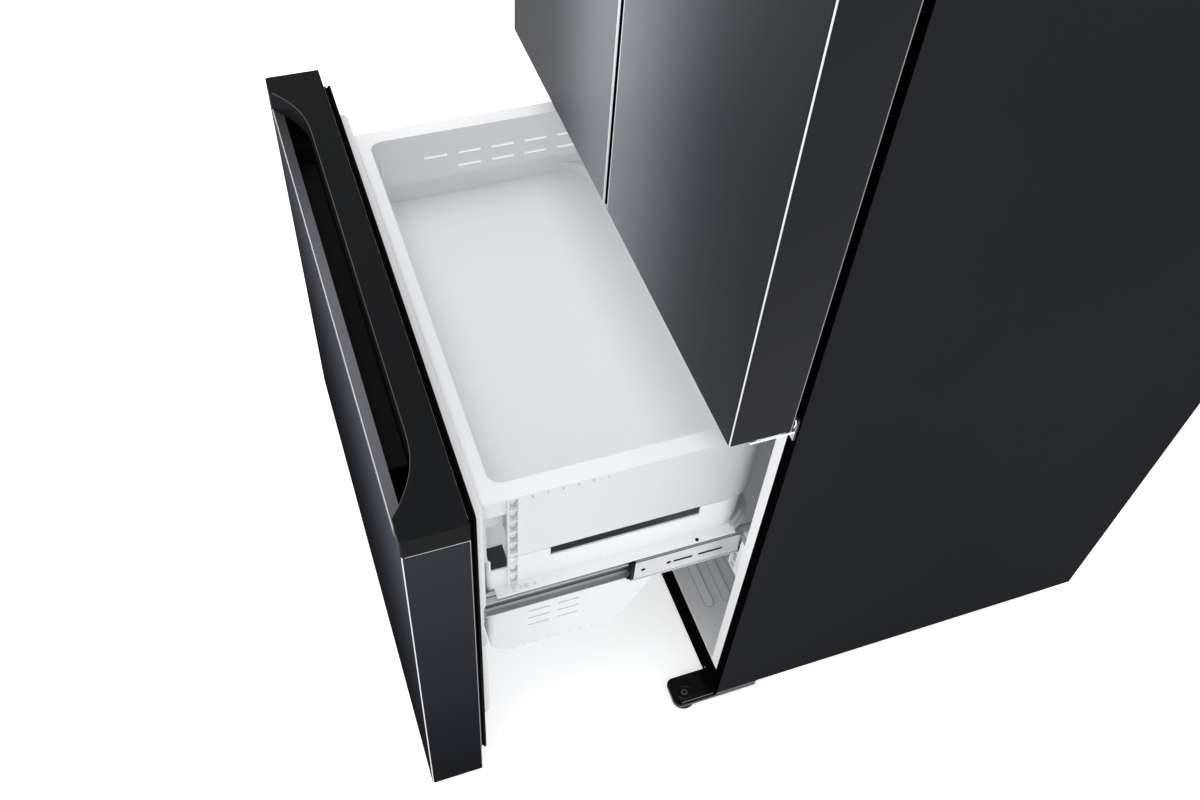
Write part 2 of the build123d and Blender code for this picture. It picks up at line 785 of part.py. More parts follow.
crisper_roof = 950
crisper_front = case_front + 205
crisper_depth = fridge_depth - 260
roof_rear = shelf_back - 7
with BuildPart() as shelf_glass:
    for side, hand in sides:
        for level in shelf_levels:
            block(
                side * (shelf_in + 8), side * (shelf_out - 8), shelf_front + 8, shelf_rear - 8,
                level + shelf_thickness - glass_thickness, level + shelf_thickness,
            )
    block(
        -cavity_half + 20, cavity_half - 20, crisper_front + 5, roof_rear - 3,
        crisper_roof - glass_thickness, crisper_roof,
    )
shelf_glass.part.label = "shelf_glass"
export_step(shelf_glass.part, "parts/shelf_glass.step")

# ---- Crisper cover: roof frame, two end walls and a middle wall ----
roof_thickness = 12
wall_thickness = 3
with BuildPart() as crisper_cover:
    roof_half = cavity_half - 3
    block(
        -roof_half, roof_half, crisper_front - 10, roof_rear,
        crisper_roof - roof_thickness, crisper_roof,
    )
    block(
        -cavity_half + 28, cavity_half - 28, crisper_front + 13, roof_rear - 11,
        crisper_roof - roof_thickness - 1, crisper_roof, Mode.SUBTRACT,
    )
    block(
        -cavity_half + 20, cavity_half - 20, crisper_front + 5, roof_rear - 3,
        crisper_roof - glass_thickness, crisper_roof + 1, Mode.SUBTRACT,
    )
    for x in (-roof_half, -wall_thickness / 2, roof_half - wall_thickness):
        block(
            x, x + wall_thickness, crisper_front + 4, roof_rear,
            fridge_floor, crisper_roof - glass_thickness,
        )
crisper_cover.part.label = "crisper_cover"
export_step(crisper_cover.part, "parts/crisper_cover.step")

# ---- Crisper drawers ----
crisper_wall = 2.5
crisper_grip = 90  # hand recess in each crisper's front, in from its sides
crisper_high = crisper_roof - roof_thickness - 6
for side, hand in sides:
    near = side * (wall_thickness / 2 + 1)
    far = side * (roof_half - wall_thickness - 1)
    with BuildPart() as crisper:
        low = fridge_floor + 0.5
        block(near, far, crisper_front, crisper_front + crisper_depth, low, crisper_high)
        fillet(crisper.edges().filter_by(Axis.Z), 2 * crisper_wall)
        block(
            near + side * crisper_wall, far - side * crisper_wall,
            crisper_front + 8, crisper_front + crisper_depth - crisper_wall,
            low + crisper_wall, crisper_high + 1, Mode.SUBTRACT,
        )
        block(
            near + side * crisper_grip, far - side * crisper_grip,
            crisper_front - 1, crisper_front + 5,
            crisper_high - 34, crisper_high - 14, Mode.SUBTRACT,
        )
    crisper.part.label = f"crisper_{hand}"
    export_step(crisper.part, f"parts/crisper_{hand}.step")

# ---- Air duct cover on the fridge's rear wall, and the ceiling lamp lens ----
with BuildPart() as air_duct_cover:
    duct_y = ladder_y - duct_depth
    block(-90, 90, duct_y, ladder_y, crisper_roof + 40, fridge_top - 20)
    fillet(air_duct_cover.edges().filter_by(Axis.Z).group_by(Axis.Y)[0], 10)
    block(-87, 87, duct_y + 3, ladder_y + 1, crisper_roof + 43, fridge_top - 23, Mode.SUBTRACT)
    for row in range(5):
        for side, hand in sides:
            slot_z = 1080 + row * 120
            block(
                side * 25, side * 65, duct_y - 1, duct_y + 4, slot_z - 4, slot_z + 4, Mode.SUBTRACT
            )
air_duct_cover.part.label = "air_duct_cover"
export_step(air_duct_cover.part, "parts/air_duct_cover.step")

lamp_half = 140
lamp_front = 190
lamp_depth = 80
with BuildPart() as lamp_lens:
    lamp_y = case_front + lamp_front
    block(-lamp_half, lamp_half, lamp_y, lamp_y + lamp_depth, fridge_top - 10, fridge_top)
    fillet(lamp_lens.faces().sort_by(Axis.Z)[0].edges(), 6)
lamp_lens.part.label = "lamp_lens"
export_step(lamp_lens.part, "parts/lamp_lens.step")

# ---- Doors ----
door_inner = door_gap / 2
gasket_outer = case_half - gasket_inset
gasket_inner = door_inner + 6
gasket_half = (gasket_outer - gasket_inner) / 2
gasket_middle = (gasket_outer + gasket_inner) / 2
gasket_low = door_bottom + 16
gasket_high = case_top - 26
frame_in = 54  # free side of the door liner's frame, from the middle of the fridge
frame_out = cavity_half - 13
frame_low = fridge_floor + 20
frame_high = fridge_top - 10
plate_back = door_rear + plate_rear
frame_back = plate_back + liner_reach
flap_x = 42
flap_y = case_front + 8
flap_length = 70
flap_half = 8
flap_low = frame_low + 15
flap_high = frame_high - 15
flap_pin = 3
bin_levels = (835, 1130, 1425)
bin_height = 95
grip_pocket = (30, 230)  # finger pocket under each door, from its free edge

for side, hand in sides:
    inner = side * door_inner
    outer = side * case_half
    pin = (side * pin_x, pin_y)

    with BuildPart() as door_skin:
        extrude(
            skin_section(inner, outer, door_face, door_rear, door_bottom),
            amount=door_top - door_bottom,
        )
    door_skin.part.label = f"door_skin_{hand}"
    export_step(door_skin.part, f"parts/door_skin_{hand}.step")

    with BuildPart() as door_caps:
        cap_in = inner + side * sheet
        cap_out = outer - side * sheet
        cap_y0 = door_face + sheet
        cap_y1 = door_rear - sheet
        for low in (door_bottom, door_top - cap_height):
            block(cap_in, cap_out, cap_y0, cap_y1, low, low + cap_height)
        caps = door_caps.edges().filter_by(Axis.Z).group_by(Axis.Y)[0]
        fillet(caps, door_edge_radius - sheet)
        rod(
            pin_radius + running_gap, (*pin, door_bottom - 1),
            (*pin, door_bottom + cap_height - 3), Mode.SUBTRACT,
        )
        rod(
            pin_radius + running_gap, (*pin, door_top - cap_height + 3),
            (*pin, door_top + 1), Mode.SUBTRACT,
        )
        block(
            side * grip_pocket[0], side * grip_pocket[1], cap_y0 + 8, cap_y0 + 44,
            door_bottom - 1, door_bottom + cap_height - 4, Mode.SUBTRACT,
        )
    door_caps.part.label = f"door_caps_{hand}"
    export_step(door_caps.part, f"parts/door_caps_{hand}.step")

    with BuildPart() as door_foam:
        foam_low = door_bottom + cap_height
        foam_high = door_top - cap_height
        block(cap_in, cap_out, cap_y0, cap_y1, foam_low, foam_high)
        fillet(door_foam.edges().filter_by(Axis.Z).group_by(Axis.Y)[0], door_edge_radius - sheet)
        block(
            inner + side * skin_return, outer - side * skin_return, cap_y1, door_rear,
            foam_low, foam_high,
        )
    door_foam.part.label = f"door_foam_{hand}"
    export_step(door_foam.part, f"parts/door_foam_{hand}.step")

    with BuildPart() as door_liner:
        block(
            side * (gasket_inner + 1), side * (gasket_outer - 1), door_rear, plate_back,
            gasket_low + 1, gasket_high - 1,
        )
        block(side * frame_in, side * frame_out, plate_back, frame_back, frame_low, frame_high)
        fillet(door_liner.faces().sort_by(Axis.Y)[-1].edges(), 5)
        block(
            side * (frame_in + frame_wall), side * (frame_out - frame_wall), plate_back,
            frame_back + 1, frame_low + frame_wall, frame_high - frame_wall, Mode.SUBTRACT,
        )
        if side < 0:
            for ear_low in (flap_low - face_gap - 10, flap_high + face_gap):
                block(
                    side * (frame_in + 4), side * (flap_x - flap_half), plate_back, flap_y + 8,
                    ear_low, ear_low + 10,
                )
            rod(
                flap_pin + running_gap, (side * flap_x, flap_y, flap_low - 20),
                (side * flap_x, flap_y, flap_high + 20), Mode.SUBTRACT,
            )
    door_liner.part.label = f"door_liner_{hand}"
    export_step(door_liner.part, f"parts/door_liner_{hand}.step")

    with BuildPart() as door_gasket:
        gasket(gasket_half, gasket_low, gasket_high, plate_back, side * gasket_middle)
    door_gasket.part.label = f"door_gasket_{hand}"
    export_step(door_gasket.part, f"parts/door_gasket_{hand}.step")

    with BuildPart() as door_bins:
        for level in bin_levels:
            bin_in = side * (frame_in + frame_wall)
            bin_out = side * (frame_out - frame_wall)
            block(bin_in, bin_out, plate_back, plate_back + bin_depth, level, level + bin_height)
        fillet(door_bins.edges().filter_by(Axis.Z).group_by(Axis.Y)[-1], door_bin_radius)
        for level in bin_levels:
            with BuildSketch(Plane.XY.offset(level + bin_wall)) as bin_hollow:
                with Locations(((bin_in + bin_out) / 2, plate_back + bin_depth / 2)):
                    Rectangle(abs(bin_out - bin_in) - 2 * bin_wall, bin_depth - 2 * bin_wall)
                fillet(bin_hollow.vertices().group_by(Axis.Y)[-1], door_bin_radius - bin_wall)
            extrude(amount=bin_height, mode=Mode.SUBTRACT)
    door_bins.part.label = f"door_bins_{hand}"
    export_step(door_bins.part, f"parts/door_bins_{hand}.step")

# ---- Mullion flap on the left door, folded back along the door's inner side ----
with BuildPart() as mullion_flap:
    block(
        -flap_x - flap_half, -flap_x + flap_half, flap_y - 6, flap_y + flap_length,
        flap_low, flap_high,
    )
    fillet(mullion_flap.edges().filter_by(Axis.Z), 3)
    rod(flap_pin, (-flap_x, flap_y, flap_low - 10), (-flap_x, flap_y, flap_high + 10))
mullion_flap.part.label = "mullion_flap"
export_step(mullion_flap.part, "parts/mullion_flap.step")

# ---- Freezer drawer front ----
with BuildPart() as drawer_skin:
    extrude(
        skin_section(-case_half, case_half, drawer_face, drawer_rear, drawer_bottom),
        amount=drawer_steel_top - drawer_bottom,
    )
    block(
        -inner_half, inner_half, drawer_face + door_edge_radius, drawer_rear - sheet,
        drawer_bottom, drawer_bottom + sheet,
    )
    block(
        -grip_half, grip_half, drawer_face + sheet, drawer_face + lip,
        drawer_steel_top - sheet, drawer_steel_top,
    )
drawer_skin.part.label = "drawer_skin"
export_step(drawer_skin.part, "parts/drawer_skin.step")

# The trim's grip is a notch open to the front, with a trough down behind the steel lip.
trough_wall = 2.5
trough_low = drawer_steel_top - trough_depth
trough_back = drawer_face + grip_depth
with BuildPart() as drawer_trim:
    with BuildSketch(Plane.XY.offset(drawer_steel_top)) as trim_plan:
        with Locations((0, (drawer_face + drawer_rear) / 2)):
            Rectangle(case_width, door_depth)
        fillet(trim_plan.vertices().group_by(Axis.Y)[0], door_edge_radius)
        with BuildLine():
            right_end = Bezier(
                (grip_half, drawer_face - 1), (grip_half - 35, drawer_face + 28),
                (grip_half - 65, trough_back), (grip_back_half, trough_back),
            )
            left_end = Bezier(
                (-grip_half, drawer_face - 1), (-grip_half + 35, drawer_face + 28),
                (-grip_half + 65, trough_back), (-grip_back_half, trough_back),
            )
            Line(right_end @ 1, left_end @ 1)
            Line(right_end @ 0, left_end @ 0)
        make_face(mode=Mode.SUBTRACT)
    extrude(amount=trim_height)
    block(
        -grip_half, grip_half, drawer_face + lip, trough_back + trough_wall,
        drawer_steel_top - trough_wall, drawer_steel_top,
    )
    block(
        -trough_half, trough_half, drawer_face + sheet, trough_back + trough_wall,
        trough_low - trough_wall, drawer_steel_top,
    )
    block(
        -trough_half + trough_wall, trough_half - trough_wall, drawer_face + sheet + trough_wall,
        trough_back, trough_low, drawer_steel_top + 1, Mode.SUBTRACT,
    )
    block(
        -case_half, case_half, drawer_face, drawer_face + lip, drawer_steel_top - sheet,
        drawer_steel_top, Mode.SUBTRACT,
    )
drawer_trim.part.label = "drawer_trim"
export_step(drawer_trim.part, "parts/drawer_trim.step")

with BuildPart() as drawer_foam:
    foam_top = drawer_steel_top - sheet
    foam_base = drawer_bottom + sheet
    block(-inner_half, inner_half, drawer_face + sheet, drawer_rear - sheet, foam_base, foam_top)
    fillet(drawer_foam.edges().filter_by(Axis.Z).group_by(Axis.Y)[0], door_edge_radius - sheet)
    block(
        -case_half + skin_return, case_half - skin_return, drawer_rear - sheet, drawer_rear,
        foam_base, foam_top,
    )
    block(
        -trough_half, trough_half, drawer_face, trough_back + trough_wall,
        trough_low - trough_wall, drawer_steel_top, Mode.SUBTRACT,
    )
    block(
        -grip_half, grip_half, drawer_face + lip, trough_back + trough_wall,
        drawer_steel_top - trough_wall, drawer_steel_top, Mode.SUBTRACT,
    )
drawer_foam.part.label = "drawer_foam"
export_step(drawer_foam.part, "parts/drawer_foam.step")

with BuildPart() as drawer_liner:
    plate_half = gasket_outer - 2
    block(
        -plate_half, plate_half, drawer_rear, drawer_rear + plate_rear,
        drawer_gasket_bottom + 2, drawer_gasket_top - 2,
    )
    block(
        -bulge_half, bulge_half, drawer_rear + plate_rear, pulled + bulge_reach,
        bulge_bottom, bulge_top,
    )
    fillet(drawer_liner.faces().sort_by(Axis.Y)[-1].edges(), 8)
    for side, hand in sides:
        for notch_in, low, high in (
            (bin_half + 5, hook_low - 2, rail_high + 2),
            (hook_in - 2, hook_low - 2, hook_high + 2),
        ):
            block(
                side * notch_in, side * (bulge_half + 1), pulled, pulled + bulge_reach + 1,
                low, high, Mode.SUBTRACT,
            )
drawer_liner.part.label = "drawer_liner"
export_step(drawer_liner.part, "parts/drawer_liner.step")

with BuildPart() as drawer_gasket:
    gasket(gasket_outer, drawer_gasket_bottom, drawer_gasket_top, drawer_rear + plate_rear)
drawer_gasket.part.label = "drawer_gasket"
export_step(drawer_gasket.part, "parts/drawer_gasket.step")


# ---- Lower bin ----
def bin_section(inset):
    """Side section of the lower bin, set in by its wall where asked, and open at the top."""
    with BuildSketch(Plane.YZ) as section:
        with BuildLine():
            profile = FilletPolyline(
                (pulled + bin_front, bin_top), (pulled + bin_front, bin_bottom),
                (pulled + bin_base_end, bin_bottom), (pulled + bin_step_start, bin_step),
                (pulled + bin_back, bin_step), (pulled + bin_back, bin_top),
                radius=bin_radii,
            )
            Line(profile @ 1, profile @ 0)
        make_face()
        if inset:
            offset(amount=-inset)
            with Locations((pulled + (bin_front + bin_back) / 2, bin_top)):
                Rectangle(bin_back - bin_front - 2 * inset, 4 * inset)
    return section.sketch


def end_rounded(half, front, rear, front_radius, rear_radius, low):
    """Plan between the drawer's distances front and rear, with its corners rounded."""
    with BuildSketch(Plane.XY.offset(low)) as section:
        with Locations((0, pulled + (front + rear) / 2)):
            Rectangle(2 * half, rear - front)
        fillet(section.vertices().group_by(Axis.Y)[0], front_radius)
        fillet(section.vertices().group_by(Axis.Y)[-1], rear_radius)
    return section.sketch


def post(side, low, high):
    """A length of the ribbed post behind the side opening: two upright flanges and their ribs."""
    reach = side * (tray_half + rib_reach)
    for flange in (post_start, post_start + post_depth):
        block(side * (tray_half - 1), reach, pulled + flange, pulled + flange + rib_sheet, low, high)
    for rib in range(post_ribs):
        rib_z = ledge_top + rib_start + rib * rib_pitch
        if low < rib_z < high - rib_sheet:
            block(
                side * (tray_half - 1), reach, pulled + post_start,
                pulled + post_start + post_depth, rib_z, rib_z + rib_sheet,
            )


rim_thickness = 4
rib_start = 2
rib_reach = 4
rib_sheet = 2
rib_pitch = (tray_top - rim_thickness - ledge_top) / post_ribs
opening_low = 482.5  # the side opening starts in the bin and ends in the tray
opening_start = 24
opening_end = post_start
opening_top = 607
vent_start = (80, 123)  # two columns of slits, behind the drawer front
vent_length = 31
vent_rows = (310, 329.5, 349)
teeth = 8
tooth_pitch = 16.9
bin_edge = 8  # front corners in plan
with BuildPart() as bin_space:
    extrude(bin_section(bin_wall), amount=bin_half - bin_wall, both=True)
    extrude(
        end_rounded(
            bin_half - bin_wall, bin_front + bin_wall, bin_back - bin_wall,
            bin_edge - bin_wall, bin_corner - bin_wall, bin_bottom,
        ),
        amount=bin_top - bin_bottom + 2 * bin_wall, mode=Mode.INTERSECT,
    )

with BuildPart() as lower_bin:
    extrude(bin_section(0), amount=bin_half, both=True)
    extrude(
        end_rounded(bin_half, bin_front, bin_back, bin_edge, bin_corner, bin_bottom),
        amount=bin_top - bin_bottom, mode=Mode.INTERSECT,
    )
    for side, hand in sides:
        block(
            side * (bin_half - bin_edge), side * ledge_half, pulled + bin_front + bin_edge,
            pulled + bin_back - bin_corner / 2, ledge_top - ledge_thickness, ledge_top,
        )
    add(bin_space.part, mode=Mode.SUBTRACT)
    block(
        -bin_half - 1, bin_half + 1, pulled + window_start, pulled + window_end,
        bin_top - window_height, bin_top + 1, Mode.SUBTRACT,
    )
    for side, hand in sides:
        post(side, ledge_top, bin_top)
        block(
            side * (bin_half - bin_wall - 1), side * (ledge_half + 1), pulled + opening_start + bin_wall,
            pulled + opening_end, opening_low, bin_top + 1, Mode.SUBTRACT,
        )
        for start in vent_start:
            for row in vent_rows:
                block(
                    side * (bin_half - 2 * bin_wall), side * (bin_half + 1), pulled + start,
                    pulled + start + vent_length, row - 1.2, row + 1.2, Mode.SUBTRACT,
                )
    for tooth in range(teeth):
        tooth_y = pulled + bin_front + bin_radii[0] + tooth * tooth_pitch
        block(-bin_half, bin_half, tooth_y, tooth_y + 3, bin_bottom - 3, bin_bottom + 1)
lower_bin.part.label = "lower_bin"
export_step(lower_bin.part, "parts/lower_bin.step")

# ---- Upper tray: outer walls, a wide rim, and an inner wall down to a ledge ----
tray_floor = bin_top + face_gap
tray_wall = 2.5
rim_end = 19  # width of the rim at the tray's front and rear
tray_y0 = pulled + tray_front
tray_y1 = pulled + tray_back
rim_in = tray_rim_half - tray_rim_width
slot_starts = (118, 172, 226, 280, 334)
slot_length = 36
slot_rows = ((596, 0), (571, 1))  # height, and how many of the slots are left out
rim_radius = 6
tray_radius = 14  # front corners in plan
tray_corner = 45  # rear corners in plan
inner_radius = 18
heel_radius = 20  # rear bottom edge
side_wall = 6
with BuildPart() as upper_tray:
    extrude(
        end_rounded(tray_half, tray_front, tray_back, tray_radius, tray_corner, tray_floor),
        amount=tray_top - tray_floor,
    )
    with BuildSketch(Plane.YZ) as tray_side:
        with Locations(((tray_y0 + tray_y1) / 2, (tray_floor + tray_top) / 2)):
            Rectangle(tray_y1 - tray_y0, tray_top - tray_floor)
        fillet(tray_side.vertices().group_by(Axis.Y)[0].sort_by(Axis.X)[-1], heel_radius)
    extrude(amount=tray_rim_half, both=True, mode=Mode.INTERSECT)
    extrude(
        end_rounded(
            tray_rim_half, tray_front, tray_back, rim_radius, tray_corner, tray_top - rim_thickness
        ),
        amount=rim_thickness,
    )
    extrude(
        end_rounded(
            rim_in, tray_front + rim_end, tray_back - rim_end, inner_radius, inner_radius, tray_ledge
        ),
        amount=tray_top - tray_ledge, mode=Mode.SUBTRACT,
    )
    hollow_front = tray_front + side_wall
    hollow_corner = tray_corner - side_wall
    for hollow_end, low, high in (
        (tray_back - heel_radius, tray_floor + tray_wall, tray_floor + heel_radius + 1),
        (tray_back - side_wall, tray_floor + heel_radius, tray_ledge),
    ):
        extrude(
            end_rounded(
                tray_half - side_wall, hollow_front, hollow_end, tray_radius - side_wall,
                hollow_corner, low,
            ),
            amount=high - low, mode=Mode.SUBTRACT,
        )
    for side, hand in sides:
        block(
            side * (rim_in + tray_wall), side * (tray_half - tray_wall), tray_y0 + rim_end,
            tray_y1 - tray_corner, tray_ledge + tray_wall, tray_top - rim_thickness, Mode.SUBTRACT,
        )
        block(
            side * (rim_in - 1), side * (tray_half + 1), pulled + opening_start,
            pulled + opening_end, tray_floor - 1, opening_top, Mode.SUBTRACT,
        )
    for row, missing in slot_rows:
        for start in slot_starts[missing:]:
            block(
                -tray_half - 1, -rim_in + 1, pulled + start, pulled + start + slot_length,
                row - 2, row + 2, Mode.SUBTRACT,
            )
    for side, hand in sides:
        post(side, tray_floor, tray_top - rim_thickness)
upper_tray.part.label = "upper_tray"
export_step(upper_tray.part, "parts/upper_tray.step")


# ---- Telescopic rails: three nested channels a side ----
def channel(side, web, tip, low, high, start, end):
    """A rail member: its web, and two flanges reaching from it to their tips."""
    away = rail_wall if web > tip else -rail_wall
    block(side * web, side * (web + away), start, end, low, high)
    block(side * web, side * tip, start, end, low, low + rail_wall)
    block(side * web, side * tip, start, end, high - rail_wall, high)


middle_low = rail_low + rail_wall + 1.5
middle_high = rail_high - rail_wall - 1.5
inner_low = middle_low + rail_wall + 6
inner_high = middle_high - rail_wall - 5
middle_start = case_front + 32 - drawer_open / 2
inner_start = pulled + bulge_reach
inner_length = 484
middle_length = 475
rail_screw = 3
middle_openings = ((15.5, 0), (53, 0), (61, 26), (98, 34), (160, 30), (230, 0))  # place, length
cage_start = 20  # ball cages that carry the inner member
cage_length = 240
with BuildPart() as fixed_rails:
    for side, hand in sides:
        start = case_front + rail_start
        channel(side, rail_web, fixed_tip, rail_low, rail_high, start, start + rail_length)
fixed_rails.part.label = "fixed_rails"
export_step(fixed_rails.part, "parts/fixed_rails.step")

for side, hand in sides:
    with BuildPart() as rail_middle:
        channel(
            side, middle_web, middle_tip, middle_low, middle_high,
            middle_start, middle_start + middle_length,
        )
        for cage_low, cage_high in (
            (middle_low + rail_wall, inner_low - face_gap),
            (inner_high + face_gap, middle_high - rail_wall),
        ):
            block(
                side * (middle_tip + 1), side * middle_web, middle_start + cage_start,
                middle_start + cage_start + cage_length, cage_low, cage_high,
            )
        middle_z = (middle_low + middle_high) / 2
        for place, length in middle_openings:
            hole_y = middle_start + place
            if length:
                block(
                    side * (middle_web - 1), side * (middle_web + rail_wall + 1),
                    hole_y, hole_y + length, middle_z - 1.5, middle_z + 1.5, Mode.SUBTRACT,
                )
            else:
                rod(
                    rail_screw, (side * (middle_web - 1), hole_y, middle_z),
                    (side * (middle_web + rail_wall + 1), hole_y, middle_z), Mode.SUBTRACT,
                )
    rail_middle.part.label = f"rail_middle_{hand}"
    export_step(rail_middle.part, f"parts/rail_middle_{hand}.step")

    with BuildPart() as rail_inner:
        channel(
            side, inner_web, inner_tip, inner_low, inner_high,
            inner_start, inner_start + inner_length,
        )
        block(
            side * inner_web, side * (inner_web - rail_wall), inner_start, pulled + bin_back - 10,
            inner_low, ledge_top - ledge_thickness,
        )
    rail_inner.part.label = f"rail_inner_{hand}"
    export_step(rail_inner.part, f"parts/rail_inner_{hand}.step")

# ---- Rail brackets: white blocks that hold the fixed rails off the liner, with a hooked foot ----
bracket_places = (2, 440)
bracket_length = 30
with BuildPart() as rail_brackets:
    for side, hand in sides:
        web_face = side * (rail_web + rail_wall)
        for place in bracket_places:
            y0 = case_front + place
            y1 = y0 + bracket_length
            block(web_face, side * cavity_half, y0, y1, hook_low, rail_high)
            block(side * (fixed_tip + 2), web_face, y0, y1, rail_low - 4, rail_low)
            block(side * hook_in, web_face, y0, y0 + hook_length, hook_low, hook_low + 4)
            block(side * hook_in, side * (hook_in + 2.5), y0, y0 + hook_length, hook_low, hook_high)
            block(
                web_face + side * 3, side * cavity_half, y0 + 4, y1 - 4,
                hook_low + 4, rail_low - 8, Mode.SUBTRACT,
            )
rail_brackets.part.label = "rail_brackets"
export_step(rail_brackets.part, "parts/rail_brackets.step")
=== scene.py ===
import json
from math import cos, pi, sin

import bmesh
import bpy
from mathutils import Matrix, Vector


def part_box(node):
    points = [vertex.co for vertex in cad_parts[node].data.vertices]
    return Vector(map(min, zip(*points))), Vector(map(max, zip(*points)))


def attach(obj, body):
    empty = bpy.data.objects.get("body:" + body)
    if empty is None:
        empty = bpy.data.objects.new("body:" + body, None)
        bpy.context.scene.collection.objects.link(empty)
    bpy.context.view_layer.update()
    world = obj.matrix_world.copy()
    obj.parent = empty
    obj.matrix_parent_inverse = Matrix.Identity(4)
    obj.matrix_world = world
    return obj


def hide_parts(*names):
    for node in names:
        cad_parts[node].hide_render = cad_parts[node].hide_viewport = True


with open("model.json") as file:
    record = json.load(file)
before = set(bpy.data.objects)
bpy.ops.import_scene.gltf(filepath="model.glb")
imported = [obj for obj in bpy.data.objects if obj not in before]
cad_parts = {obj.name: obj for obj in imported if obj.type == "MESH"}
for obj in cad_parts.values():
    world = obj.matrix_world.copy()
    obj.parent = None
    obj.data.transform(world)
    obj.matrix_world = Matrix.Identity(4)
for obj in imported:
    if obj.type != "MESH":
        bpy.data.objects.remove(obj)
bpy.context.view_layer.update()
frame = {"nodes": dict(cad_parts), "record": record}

# The looks of a refrigerator with its freezer drawer out. Metres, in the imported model's frame.
mm = 0.001
sides = ((-1, "left"), (1, "right"))
upward = (0, 0, 1)

# ---- Places read from the frame ----
case_low, case_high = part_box("outer_case")
steel_low, steel_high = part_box("drawer_skin")
trim_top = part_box("drawer_trim")[1].z
tray_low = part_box("upper_tray")[0]
bin_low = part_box("lower_bin")[0]
case_half = case_high.x
case_front = case_low.y
case_back = case_high.y
edge_radius = 4 * mm  # front corners of the door and drawer steel
pulled = tray_low.y - 17 * mm  # the plane on the drawer that meets the case when it is shut
post_low = pulled + 50 * mm  # ribbed post behind the drawer's side opening
post_high = post_low + 13 * mm
ledge_top = bin_low.z + 188.5 * mm


# ---- Colour and node helpers ----
noise_low, noise_high = 0.3, 0.7  # most of a noise texture's values lie between these
facing = 0.6  # part of a normal along an axis, from which a face counts as facing that way
brush_stretch = 0.012  # draws a noise out into brush lines


def linear(text):
    """Linear RGBA of a colour written as sRGB hex."""
    channels = [int(text[i:i + 2], 16) / 255 for i in (0, 2, 4)]
    return [c / 12.92 if c <= 0.04045 else ((c + 0.055) / 1.055) ** 2.4 for c in channels] + [1]


def shader(name, colour, roughness, metallic=0.0, specular=0.5, coat=0.0, transmission=0.0):
    """A material with its Principled shader's even values set."""
    material = bpy.data.materials.new(name)
    material.use_nodes = True
    principled = material.node_tree.nodes["Principled BSDF"]
    for socket, value in (
        ("Base Color", linear(colour)), ("Roughness", roughness), ("Metallic", metallic),
        ("Specular IOR Level", specular), ("Coat Weight", coat), ("Coat Roughness", 0.12),
        ("Transmission Weight", transmission),
    ):
        principled.inputs[socket].default_value = value
    return material, principled


def feed(tree, socket, value):
    """Sets a socket to a value, or links it to another node's output."""
    if isinstance(value, bpy.types.NodeSocket):
        tree.links.new(value, socket)
    else:
        socket.default_value = value


def math_node(tree, operation, *values):
    """The result of a sum on numbers or other nodes' outputs."""
    node = tree.nodes.new("ShaderNodeMath")
    node.operation = operation
    for socket, value in zip(node.inputs, values):
        feed(tree, socket, value)
    return node.outputs["Value"]


def blend(tree, factor, first, second):
    """A colour between two, each of them a colour or another node's output."""
    mix = tree.nodes.new("ShaderNodeMix")
    mix.data_type = "RGBA"
    for name, value in (("Factor", factor), ("A", first), ("B", second)):
        feed(tree, mix.inputs[name], value)
    return mix.outputs["Result"]


def axes_of(tree, source):
    """X, Y and Z of the object's own coordinates, or of its surface normal."""
    place = tree.nodes.new("ShaderNodeTexCoord")
    axes = tree.nodes.new("ShaderNodeSeparateXYZ")
    tree.links.new(place.outputs[source], axes.inputs["Vector"])
    return axes.outputs


def noise(material, scale, stretch=(1, 1, 1), detail=3.0, seed=0.0):
    """Noise over the object's own coordinates, drawn out along an axis where stretch is small."""
    tree = material.node_tree
    place = tree.nodes.new("ShaderNodeTexCoord")
    mapping = tree.nodes.new("ShaderNodeMapping")
    mapping.inputs["Scale"].default_value = stretch
    mapping.inputs["Location"].default_value = (seed, seed * 0.7, seed * 1.3)
    texture = tree.nodes.new("ShaderNodeTexNoise")
    texture.inputs["Scale"].default_value = scale
    texture.inputs["Detail"].default_value = detail
    tree.links.new(place.outputs["Object"], mapping.inputs["Vector"])
    tree.links.new(mapping.outputs["Vector"], texture.inputs["Vector"])
    return texture.outputs["Fac"]


def spread(material, factor, low, high, socket):
    """Drives a shader value from a 0 to 1 factor, between low and high."""
    tree = material.node_tree
    span = tree.nodes.new("ShaderNodeMapRange")
    span.inputs["From Min"].default_value = noise_low
    span.inputs["From Max"].default_value = noise_high
    span.inputs["To Min"].default_value = low
    span.inputs["To Max"].default_value = high
    tree.links.new(factor, span.inputs["Value"])
    tree.links.new(span.outputs["Result"], socket)


def tint(material, factor, first, second, socket):
    """Drives a colour from a 0 to 1 factor, between two colours."""
    tree = material.node_tree
    ramp = tree.nodes.new("ShaderNodeValToRGB")
    marks = ramp.color_ramp.elements
    marks[0].position, marks[1].position = noise_low, noise_high
    marks[0].color, marks[1].color = linear(first), linear(second)
    tree.links.new(factor, ramp.inputs["Fac"])
    tree.links.new(ramp.outputs["Color"], socket)


def relief(material, principled, factor, strength, depth):
    """Bump from a factor, depth in metres."""
    tree = material.node_tree
    bump = tree.nodes.new("ShaderNodeBump")
    bump.inputs["Strength"].default_value = strength
    bump.inputs["Distance"].default_value = depth
    tree.links.new(factor, bump.inputs["Height"])
    tree.links.new(bump.outputs["Normal"], principled.inputs["Normal"])


